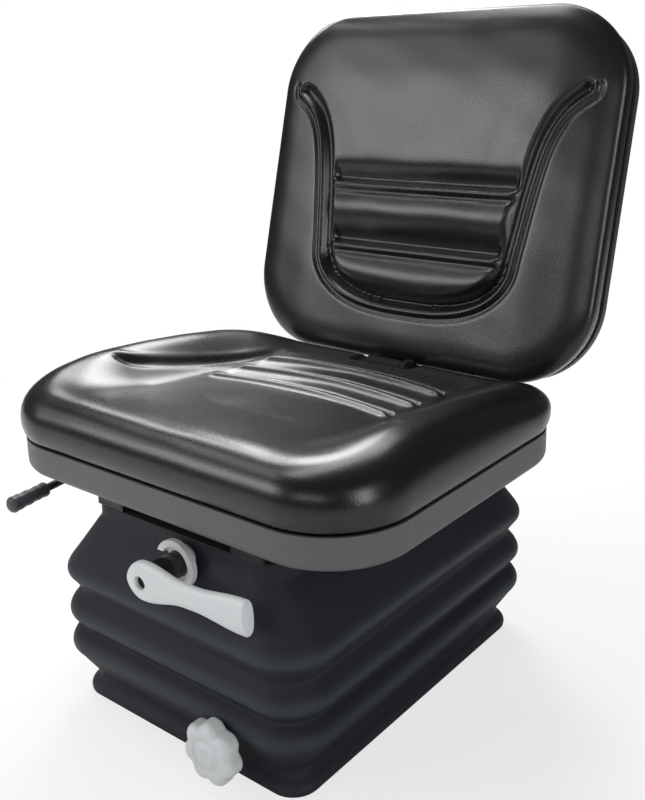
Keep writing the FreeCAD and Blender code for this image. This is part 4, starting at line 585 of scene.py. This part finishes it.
def crank_handle():
    """The crank's bar: rings across it, each a squarish oval, from its round root to its flat flared end.

    The half height is blended by smooth steps from the root to the waist and from the waist to the end.
    Round the root's centre the front face is pushed in, as a smooth step of the distance, for the bolt.
    """
    size = sizes()
    low, high = node_box("crank_handle")
    lean = size.handle_rise
    root = size.handle_root
    thick = high[1] - low[1]
    reach = high[0] - low[0] - root - size.handle_short
    start = np.array([low[0] + root, (low[1] + high[1]) / 2, low[2] + root])
    along_axis = np.array([math.cos(lean), 0.0, math.sin(lean)])
    up_axis = np.array([-math.sin(lean), 0.0, math.cos(lean)])
    columns = 200
    bevel = 0.0018
    round_power, flat_power = 0.62, 0.84
    rings = []

    def ring(along, half_height, half_thick, power):
        oval = squarish_oval(half_thick, half_height, power, columns)
        across = np.stack([np.zeros(columns), oval[:, 0], np.zeros(columns)], axis=1)
        rings.append(start + along * along_axis + oval[:, 1:] * up_axis + across)

    for turn in np.linspace(0.06, math.pi / 2, 40):
        half_thick = thick / 2 * (0.72 + 0.28 * math.sin(turn))
        ring(-root * math.cos(turn), root * math.sin(turn), half_thick, round_power)
    end = reach - size.handle_tip * 0.12
    for along in np.linspace(0.0, 1.0, 150)[1:]:
        near = smoothstep(along, 0.02, 0.42)
        far = smoothstep(along, 0.52, 0.96)
        half = root * (1 - near) + size.handle_waist * near
        half = half * (1 - far) + size.handle_tip * far
        power = round_power + (flat_power - round_power) * near
        ring(along * end, half, thick / 2 * (1 - 0.10 * near * (1 - far)), power)
    for turn in np.linspace(0.0, math.pi / 2, 7)[1:]:
        inward = bevel * (1 - math.cos(turn))
        ring(end + bevel * math.sin(turn), size.handle_tip - inward, thick / 2 - inward, flat_power)
    for share in (0.8, 0.5, 0.2, 0.03):
        dome = end + bevel + 0.0006 * (1 - share)
        ring(dome, share * (size.handle_tip - bevel), share * (thick / 2 - bevel), flat_power)
    rings = np.stack(rings)
    away = np.linalg.norm(rings[:, :, [0, 2]] - start[[0, 2]], axis=2)
    inside = 1 - smoothstep(away, size.socket_radius - 0.0004, size.socket_radius + 0.0008)
    rings[:, :, 1] += np.where(rings[:, :, 1] < start[1], size.socket_depth * inside, 0.0)
    piece = closed_by_poles("crank_handle_moulded", light_plastic_finish(), rings)
    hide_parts("crank_handle")
    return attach(piece, "crank")


# Lever grip


def lever_grip():
    """The grip: a circle carried along a straight axis, from a bevelled rear end to a domed tip.

    Its radius grows evenly towards the tip and dips for the fingers, as a cosine that smooth steps fade
    at both ends; the dome is a quarter of an oval.
    """
    size = sizes()
    low, high = node_box("slide_lever_grip")
    tip_radius, rear_radius = size.grip_tip, size.grip_rear
    rear_inset, tip_inset = (0.0077, -0.0006, 0.0105), (-0.0085, 0.0, 0.0085)
    rear = np.array([low[0], high[1], low[2]]) + rear_inset
    tip = np.array([high[0], low[1], low[2]]) + tip_inset
    reach = np.linalg.norm(tip - rear)
    axis = (tip - rear) / reach
    side = np.cross(axis, [0.0, 0.0, 1.0])
    side = side / np.linalg.norm(side)
    upright = np.cross(side, axis)
    columns = 96
    angle = np.linspace(0.0, 2 * math.pi, columns, endpoint=False)
    round_it = np.cos(angle)[:, None] * side + np.sin(angle)[:, None] * upright
    dome = 0.0062
    waves, wave_dip = 4, 0.00035
    rings = []

    def ring(along, radius):
        rings.append(rear + along * axis + radius * round_it)

    ring(0.0, 0.3 * rear_radius)
    ring(0.0, rear_radius - 0.0008)
    for along in np.linspace(0.0008, reach - dome, 70):
        share = along / reach
        collar = 0.0006 * bump(along, 0.003, 0.0022)
        middle = smoothstep(share, 0.12, 0.2) * (1 - smoothstep(share, 0.8, 0.9))
        dip = wave_dip * (1 - math.cos(2 * math.pi * waves * share)) * middle
        ring(along, rear_radius + (tip_radius - rear_radius) * share + collar - dip)
    for turn in np.linspace(0.0, math.pi / 2, 14)[1:-1]:
        ring(reach - dome + dome * math.sin(turn), tip_radius * math.cos(turn) ** 0.8)
    piece = closed_by_poles("slide_lever_grip_moulded", grip_finish(), rings)
    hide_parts("slide_lever_grip")
    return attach(piece, "slide_lever")


# Height knob


def height_knob():
    """A soft star knob: at every depth its radius dips between the lobes as a power of a cosine.

    The rim is rounded by quarter circles at the back and the front. On the face a shallow groove, a bell
    across its width, runs round a middle that a smooth step raises.
    """
    size = sizes()
    low, high = node_box("height_knob")
    centre = (low + high) / 2
    radius, thick = (high[2] - low[2]) / 2, high[1] - low[1]
    columns = 280
    angle = np.linspace(0.0, 2 * math.pi, columns, endpoint=False)
    dip = (0.5 - 0.5 * np.cos(size.knob_lobes * (angle - math.pi / 2))) ** 1.6
    rings = []

    def ring(share, depth, lobed=1.0):
        reach = share * (radius - 0.0046 * dip * lobed)
        rings.append(np.stack([centre[0] + reach * np.cos(angle), np.full(columns, high[1] - depth),
                               centre[2] + reach * np.sin(angle)], axis=1))

    ring(0.05, 0.0, 0.0)
    ring(0.5, 0.0, 0.3)
    edge, front_edge, rim = 0.005, 0.0075, thick - 0.002
    for turn in np.linspace(0.0, math.pi / 2, 9):
        ring(1 - edge / radius * (1 - math.sin(turn)), edge * (1 - math.cos(turn)))
    for turn in np.linspace(0.0, math.pi / 2, 12):
        ring(1 - front_edge / radius * (1 - math.cos(turn)), rim - front_edge * (1 - math.sin(turn)))
    for share in np.linspace(0.74, 0.03, 26):
        sunk = 0.0011 * bump(share, 0.5, 0.07)
        raised = 0.002 * (1 - smoothstep(share, 0.30, 0.42))
        ring(share, rim - sunk + raised, smoothstep(share, 0.2, 0.74))
    piece = closed_by_poles("height_knob_moulded", light_plastic_finish(), np.stack(rings)[:, ::-1])
    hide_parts("height_knob")
    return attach(piece, "height_knob")


# Finishes


class Link:
    """One socket of a finish. Arithmetic on it adds Math nodes."""

    def __init__(self, finish, socket):
        self.finish = finish
        self.socket = socket

    def _with(self, operation, first, second):
        return self.finish.node("ShaderNodeMath", {"operation": operation}, {0: first, 1: second})

    def __add__(self, other):
        return self._with("ADD", self, other)

    def __radd__(self, other):
        return self._with("ADD", other, self)

    def __sub__(self, other):
        return self._with("SUBTRACT", self, other)

    def __rsub__(self, other):
        return self._with("SUBTRACT", other, self)

    def __mul__(self, other):
        return self._with("MULTIPLY", self, other)

    def __rmul__(self, other):
        return self._with("MULTIPLY", other, self)


class Nodes:
    """The nodes of a material or a world in the making."""

    def __init__(self, owner, output):
        owner.use_nodes = True
        self.owner = owner
        self.tree = owner.node_tree
        self.tree.nodes.clear()
        self.output = self.tree.nodes.new(output)

    def node(self, kind, settings, inputs, output=0):
        """Adds a node: its settings first, then a value or a link for each named socket."""
        made = self.tree.nodes.new(kind)
        for key, value in settings.items():
            setattr(made, key, value)
        for key, value in inputs.items():
            if isinstance(value, Link):
                self.tree.links.new(value.socket, made.inputs[key])
            else:
                made.inputs[key].default_value = value
        return Link(self, made.outputs[output])

    def close(self, surface):
        """Joins the surface to the output and hands over what was made."""
        self.tree.links.new(surface.socket, self.output.inputs["Surface"])
        return self.owner


class Finish(Nodes):
    """A material in the making: its base colour, and its patterns on Object coordinates."""

    def __init__(self, name, base):
        super().__init__(bpy.data.materials.new(name), "ShaderNodeOutputMaterial")
        self.base = tuple(base)
        self.place = self.node("ShaderNodeTexCoord", {}, {}, "Object")

    def noise(self, scale, detail=2.0, roughness=0.5):
        return self.node("ShaderNodeTexNoise", {}, {"Vector": self.place, "Scale": scale, "Detail": detail,
                                                    "Roughness": roughness})

    def cells(self, scale):
        return self.node("ShaderNodeTexVoronoi", {}, {"Vector": self.place, "Scale": scale}, "Distance")

    def tint(self, share, factor, lift=0.0):
        """The base colour, mixed by a varying share towards itself times a factor plus a lift."""
        other = [tone * factor + lift for tone in self.base]
        return self.node("ShaderNodeMix", {"data_type": "RGBA"},
                         {0: share, 6: (*self.base, 1.0), 7: (*other, 1.0)}, 2)

    def relief(self, height, strength, distance):
        return self.node("ShaderNodeBump", {}, {"Height": height, "Strength": strength, "Distance": distance})

    def finish(self, base, roughness, normal, **fixed):
        """Closes with the Principled shader: base, roughness and normal may vary, the rest are numbers."""
        inputs = {key.replace("_", " "): value for key, value in fixed.items()}
        inputs.update({"Base Color": base, "Roughness": roughness, "Normal": normal})
        return self.close(self.node("ShaderNodeBsdfPrincipled", {}, inputs))


MADE = {}


def once(build):
    """Builds a finish the first time it is asked for and keeps it."""

    def kept():
        if build.__name__ not in MADE:
            MADE[build.__name__] = build()
        return MADE[build.__name__]

    return kept


@once
def vinyl_finish():
    """Black satin vinyl: a pebble grain of small cells, a slow change of gloss and a little dust."""
    finish = Finish("black_vinyl", colours().vinyl)
    pebbles = finish.cells(620.0)
    slow = finish.noise(9.0, 3.0)
    fine = finish.noise(900.0, 2.0)
    dust = finish.noise(38.0, 4.0) * slow
    tone = finish.tint(dust * 0.5, 2.6, 0.004)
    rough = 0.215 + slow * 0.09 + pebbles * 0.05
    height = pebbles * 0.7 + fine * 0.3
    return finish.finish(tone, rough, finish.relief(height, 0.16, 0.0004), Specular_IOR_Level=0.5)


@once
def pan_finish():
    """Dark grey injection moulded plastic with an etched grain."""
    finish = Finish("pan_plastic", colours().pan)
    grain = finish.noise(1400.0, 3.0, 0.6)
    slow = finish.noise(14.0, 3.0)
    tone = finish.tint(slow * 0.5 + grain * 0.12, 0.72)
    return finish.finish(tone, 0.46 + slow * 0.12, finish.relief(grain, 0.2, 0.0003))


@once
def shell_finish():
    """The backrest shell's darker plastic, with the same etched grain."""
    finish = Finish("shell_plastic", colours().shell)
    grain = finish.noise(1400.0, 3.0, 0.6)
    slow = finish.noise(11.0, 3.0)
    tone = finish.tint(slow * 0.5, 1.35)
    return finish.finish(tone, 0.42 + slow * 0.14, finish.relief(grain, 0.22, 0.0003))


@once
def rubber_finish():
    """Matte moulded rubber: a fine grain, a bloom that lightens it unevenly, and a painted highlight that
    lightens the folds' lips.
    """
    finish = Finish("black_rubber", colours().rubber)
    grain = finish.noise(700.0, 4.0, 0.65)
    bloom = finish.noise(6.0, 4.0, 0.6)
    lip = finish.node("ShaderNodeAttribute", {"attribute_name": "lip"}, {}, "Fac")
    # Painted highlight: the lip share lightens the rubber along the folds' lips, where light falls on them
    tone = finish.tint(bloom * bloom * 0.6 + lip * 0.75, 2.7)
    rough = 0.60 + bloom * 0.16 - lip * 0.10
    return finish.finish(tone, rough, finish.relief(grain, 0.22, 0.0005), Specular_IOR_Level=0.35)


@once
def light_plastic_finish():
    """Pale grey satin plastic with faint flow marks."""
    finish = Finish("light_grey_plastic", colours().light_plastic)
    flow = finish.noise(24.0, 3.0)
    grain = finish.noise(1100.0, 2.0)
    tone = finish.tint(flow * 0.35, 0.86)
    return finish.finish(tone, 0.34 + flow * 0.14, finish.relief(grain, 0.08, 0.0002))


@once
def grip_finish():
    """Dark grey moulded grip."""
    finish = Finish("grip_plastic", colours().grip)
    grain = finish.noise(900.0, 3.0)
    slow = finish.noise(60.0, 2.0)
    tone = finish.tint(slow * 0.5, 1.5)
    return finish.finish(tone, 0.42 + slow * 0.1, finish.relief(grain, 0.14, 0.0003))


@once
def paint_finish():
    """Satin black powder coat with a light orange peel."""
    finish = Finish("black_steel", colours().black_paint)
    peel = finish.noise(420.0, 2.0)
    slow = finish.noise(17.0, 3.0)
    tone = finish.tint(slow * 0.6, 1.8)
    return finish.finish(tone, 0.36 + slow * 0.16, finish.relief(peel, 0.12, 0.0003))


@once
def phosphate_finish():
    """Dark phosphate coat with a thin film of grease."""
    finish = Finish("track_steel", colours().phosphate)
    crystals = finish.cells(1500.0)
    film = finish.noise(30.0, 4.0)
    tone = finish.tint(film * 0.6, 1.7)
    return finish.finish(tone, 0.3 + film * 0.3, finish.relief(crystals, 0.1, 0.0002), Metallic=0.6)


@once
def zinc_finish():
    """Bright zinc with fine turning marks."""
    finish = Finish("zinc_steel", colours().zinc)
    marks = finish.noise(900.0, 2.0)
    slow = finish.noise(45.0, 3.0)
    tone = finish.tint(slow * 0.5, 0.8)
    return finish.finish(tone, 0.24 + slow * 0.16, finish.relief(marks, 0.08, 0.0002), Metallic=1.0)


@once
def nylon_finish():
    """Natural nylon, slightly waxy."""
    finish = Finish("bush_plastic", colours().nylon)
    slow = finish.noise(70.0, 3.0)
    tone = finish.tint(slow * 0.4, 0.85)
    return finish.finish(tone, 0.38 + slow * 0.1, finish.relief(slow, 0.05, 0.0004))


@once
def enamel_finish():
    """Gloss black enamel of the damper and the crank's hub."""
    finish = Finish("black_enamel", colours().black_paint)
    slow = finish.noise(26.0, 3.0)
    tone = finish.tint(slow * 0.5, 1.5)
    return finish.finish(tone, 0.2 + slow * 0.12, finish.relief(slow, 0.04, 0.0006))


@once
def matt_paint_finish():
    """Matte black paint of the backrest's bracket and hinge."""
    finish = Finish("black_paint_matt", [tone * 0.5 for tone in colours().black_paint])
    slow = finish.noise(21.0, 3.0)
    tone = finish.tint(slow * 0.5, 1.6)
    return finish.finish(tone, 0.62 + slow * 0.14, finish.relief(slow, 0.06, 0.0005), Specular_IOR_Level=0.2)


SLOT_FINISHES = {
    "black_steel": paint_finish, "track_steel": phosphate_finish, "zinc_steel": zinc_finish,
    "bush_plastic": nylon_finish, "black_rubber": rubber_finish, "black_enamel": enamel_finish,
    "light_grey_plastic": light_plastic_finish, "grip_plastic": grip_finish, "pan_plastic": pan_finish,
    "black_vinyl": vinyl_finish,
}
OWN_FINISHES = {
    "backrest_shell": shell_finish, "backrest_bracket_lower": matt_paint_finish,
    "backrest_bracket_upper": matt_paint_finish, "backrest_hinge_pin": matt_paint_finish,
    "crank_bolt": matt_paint_finish,
}


def dress_frame_nodes():
    """Gives every node of the frame the finish of its slot in the record, or its own."""
    for row in frame["record"]["subparts"]:
        node = frame["nodes"][row["node"]]
        build = OWN_FINISHES.get(row["node"], SLOT_FINISHES[row["material_slot"]])
        node.data.materials.clear()
        node.data.materials.append(build())


# Stage


# The photograph's frame in pixels, and the camera that was worked out from it
IMAGE_WIDTH, IMAGE_HEIGHT = 645, 800
FOCAL_PIXELS = 1006.85
CENTRE_X, CENTRE_Y = 321.04, 328.57
CAMERA_PLACE = np.array([0.6802, -0.7906, 0.6642])
CAMERA_RIGHT = np.array([0.7777, 0.6281, -0.0247])
CAMERA_UP = np.array([-0.1419, 0.2138, 0.9665])
CAMERA_BACK = np.array([0.6124, -0.7482, 0.2554])
# The point that the lamps face, and for each lamp its name, direction from there, distance, width,
# height, power and turn in degrees
LAMP_AIM = np.array([0.0, 0.0, 0.35])
LAMPS = (
    ("lamp_top", (-0.30, 0.05, 1.0), 2.0, 1.5, 0.6, 18.0, 0.0),
    ("lamp_crest", (-0.52, 0.59, 0.60), 2.3, 0.6, 0.9, 20.0, 8.0),
    ("lamp_streak", (-0.46, 0.47, 0.745), 2.3, 2.3, 0.40, 28.0, -33.7),
    ("lamp_edge", (-0.62, -0.24, 0.74), 2.3, 1.3, 0.22, 5.0, 0.0),
    ("lamp_front_left", (-0.66, -0.62, 0.52), 2.4, 1.5, 0.5, 5.0, 0.0),
    ("lamp_face", (-0.57, -0.76, 0.34), 2.9, 1.5, 0.8, 22.0, 0.0),
    ("lamp_front", (0.28, -1.0, 0.42), 2.8, 1.6, 0.7, 8.0, 0.0),
    ("lamp_right", (0.95, -0.30, 0.30), 2.2, 0.5, 1.3, 14.0, 0.0),
)
AMBIENT_COLOUR, AMBIENT_STRENGTH = (0.93, 0.96, 1.0, 1.0), 0.09
WHITE = (1.0, 1.0, 1.0, 1.0)
FLOOR_REACH = 14.0


def floor_finish():
    """A pale floor that keeps the object's shadow close by and is the background's white further off."""
    finish = Finish("stage_floor", colours().backdrop)
    radius = finish.node("ShaderNodeVectorMath", {"operation": "LENGTH"}, {0: finish.place}, "Value")
    far = finish.node("ShaderNodeMapRange", {"interpolation_type": "SMOOTHSTEP"},
                      {"Value": radius, "From Min": 0.5, "From Max": 1.3})
    rays = finish.node("ShaderNodeLightPath", {}, {}, "Is Camera Ray")
    matt = finish.node("ShaderNodeBsdfDiffuse", {}, {"Color": (*finish.base, 1.0)})
    white = finish.node("ShaderNodeEmission", {}, {"Color": WHITE, "Strength": 1.0})
    share = rays * (0.72 + far * 0.28)
    return finish.close(finish.node("ShaderNodeMixShader", {}, {0: share, 1: matt, 2: white}))


def white_world():
    """A world that is white to the camera and through glass, and a faint cool light to all else."""
    world = Nodes(bpy.data.worlds.new("studio"), "ShaderNodeOutputWorld")
    seen = world.node("ShaderNodeLightPath", {}, {}, "Is Camera Ray")
    through = world.node("ShaderNodeLightPath", {}, {}, "Is Transmission Ray")
    either = world.node("ShaderNodeMath", {"operation": "MAXIMUM"}, {0: seen, 1: through})
    ambient = world.node("ShaderNodeBackground", {}, {"Color": AMBIENT_COLOUR, "Strength": AMBIENT_STRENGTH})
    white = world.node("ShaderNodeBackground", {}, {"Color": WHITE, "Strength": 1.0})
    mixed = world.node("ShaderNodeMixShader", {}, {0: either, 1: ambient, 2: white})
    bpy.context.scene.world = world.close(mixed)


def softbox(name, towards, distance, width, height, power, roll):
    """An area lamp that faces LAMP_AIM from the given direction, turned about it by roll degrees."""
    lamp = bpy.data.lights.new(name, "AREA")
    lamp.shape = "RECTANGLE"
    lamp.size, lamp.size_y = width, height
    lamp.energy = power
    item = bpy.data.objects.new(name, lamp)
    bpy.context.scene.collection.objects.link(item)
    from_middle = np.array(towards) / np.linalg.norm(towards)
    side = np.cross([0.0, 0.0, 1.0], from_middle)
    side = side / np.linalg.norm(side)
    upright = np.cross(from_middle, side)
    turn = math.radians(roll)
    right = math.cos(turn) * side + math.sin(turn) * upright
    up = np.cross(from_middle, right)
    item.matrix_world = matrix_of(right, up, from_middle, LAMP_AIM + from_middle * distance)


def matrix_of(right, upright, backward, place):
    """A placement whose local axes are the three given directions."""
    rows = np.eye(4)
    rows[:3, 0], rows[:3, 1], rows[:3, 2], rows[:3, 3] = right, upright, backward, place
    return Matrix(rows.tolist())


def studio():
    """The floor, the white world, the soft lamps and the camera of the photograph."""
    mesh = bpy.data.meshes.new("stage_floor")
    signs = ((-1, -1), (1, -1), (1, 1), (-1, 1))
    mesh.from_pydata([(FLOOR_REACH * x, FLOOR_REACH * y, 0) for x, y in signs], [], [(0, 1, 2, 3)])
    floor = bpy.data.objects.new("stage_floor", mesh)
    bpy.context.scene.collection.objects.link(floor)
    mesh.materials.append(floor_finish())
    white_world()
    for lamp in LAMPS:
        softbox(*lamp)
    lens = bpy.data.cameras.new("photo_camera")
    lens.sensor_fit = "AUTO"
    lens.sensor_width = 36.0
    lens.lens = 36.0 * FOCAL_PIXELS / IMAGE_HEIGHT
    lens.shift_x = (IMAGE_WIDTH / 2 - CENTRE_X) / IMAGE_HEIGHT
    lens.shift_y = (CENTRE_Y - IMAGE_HEIGHT / 2) / IMAGE_HEIGHT
    lens.clip_start = 0.05
    camera = bpy.data.objects.new("photo_camera", lens)
    bpy.context.scene.collection.objects.link(camera)
    camera.matrix_world = matrix_of(CAMERA_RIGHT, CAMERA_UP, CAMERA_BACK, CAMERA_PLACE)
    bpy.context.scene.camera = camera
    bpy.context.scene.view_settings.view_transform = "Standard"


# Add-on


class SEAT_OT_cushion(bpy.types.Operator):
    """Model the seat cushion"""

    bl_idname = "seat.cushion"
    bl_label = "Seat cushion"
    bl_options = {"REGISTER", "UNDO"}

    def execute(self, context):
        seat_cushion()
        return {"FINISHED"}


class SEAT_OT_backrest(bpy.types.Operator):
    """Model the backrest cushion"""

    bl_idname = "seat.backrest"
    bl_label = "Backrest cushion"
    bl_options = {"REGISTER", "UNDO"}

    def execute(self, context):
        backrest_cushion()
        return {"FINISHED"}


class SEAT_OT_bellows(bpy.types.Operator):
    """Model the rubber bellows"""

    bl_idname = "seat.bellows"
    bl_label = "Bellows"
    bl_options = {"REGISTER", "UNDO"}

    def execute(self, context):
        bellows()
        return {"FINISHED"}


class SEAT_OT_handle(bpy.types.Operator):
    """Model the crank handle"""

    bl_idname = "seat.handle"
    bl_label = "Crank handle"
    bl_options = {"REGISTER", "UNDO"}

    def execute(self, context):
        crank_handle()
        return {"FINISHED"}


class SEAT_OT_grip(bpy.types.Operator):
    """Model the lever's grip"""

    bl_idname = "seat.grip"
    bl_label = "Lever grip"
    bl_options = {"REGISTER", "UNDO"}

    def execute(self, context):
        lever_grip()
        return {"FINISHED"}


class SEAT_OT_knob(bpy.types.Operator):
    """Model the star knob"""

    bl_idname = "seat.knob"
    bl_label = "Height knob"
    bl_options = {"REGISTER", "UNDO"}

    def execute(self, context):
        height_knob()
        return {"FINISHED"}


class SEAT_OT_finishes(bpy.types.Operator):
    """Give the frame's own nodes their finishes"""

    bl_idname = "seat.finishes"
    bl_label = "Finishes"
    bl_options = {"REGISTER", "UNDO"}

    def execute(self, context):
        dress_frame_nodes()
        return {"FINISHED"}


class SEAT_OT_studio(bpy.types.Operator):
    """Set the floor, lamps and camera"""

    bl_idname = "seat.studio"
    bl_label = "Studio"
    bl_options = {"REGISTER", "UNDO"}

    def execute(self, context):
        studio()
        return {"FINISHED"}


OPERATORS = (SEAT_OT_finishes, SEAT_OT_cushion, SEAT_OT_backrest, SEAT_OT_bellows,
             SEAT_OT_handle, SEAT_OT_grip, SEAT_OT_knob, SEAT_OT_studio)


class SEAT_PT_panel(bpy.types.Panel):
    """Lists the seat's builders and their sizes"""

    bl_label = "Suspension seat"
    bl_space_type = "VIEW_3D"
    bl_region_type = "UI"
    bl_category = "Seat"

    def draw(self, context):
        for operator in OPERATORS:
            self.layout.operator(operator.bl_idname)
        for group in (context.scene.seat_sizes, context.scene.seat_colours):
            for name in group.bl_rna.properties.keys():
                if name not in ("rna_type", "name"):
                    self.layout.prop(group, name)


CLASSES = (SeatSizes, SeatColours, *OPERATORS, SEAT_PT_panel)


def register():
    for item in CLASSES:
        bpy.utils.register_class(item)
    bpy.types.Scene.seat_sizes = bpy.props.PointerProperty(type=SeatSizes)
    bpy.types.Scene.seat_colours = bpy.props.PointerProperty(type=SeatColours)


def unregister():
    del bpy.types.Scene.seat_sizes
    del bpy.types.Scene.seat_colours
    for item in reversed(CLASSES):
        bpy.utils.unregister_class(item)


def corners(box):
    """A box's corners as plain lists."""
    return [list(corner) for corner in box]


def main():
    register()
    for operator in OPERATORS:
        group, name = operator.bl_idname.split(".")
        getattr(getattr(bpy.ops, group), name)()


if __name__ == "__main__":
    main()
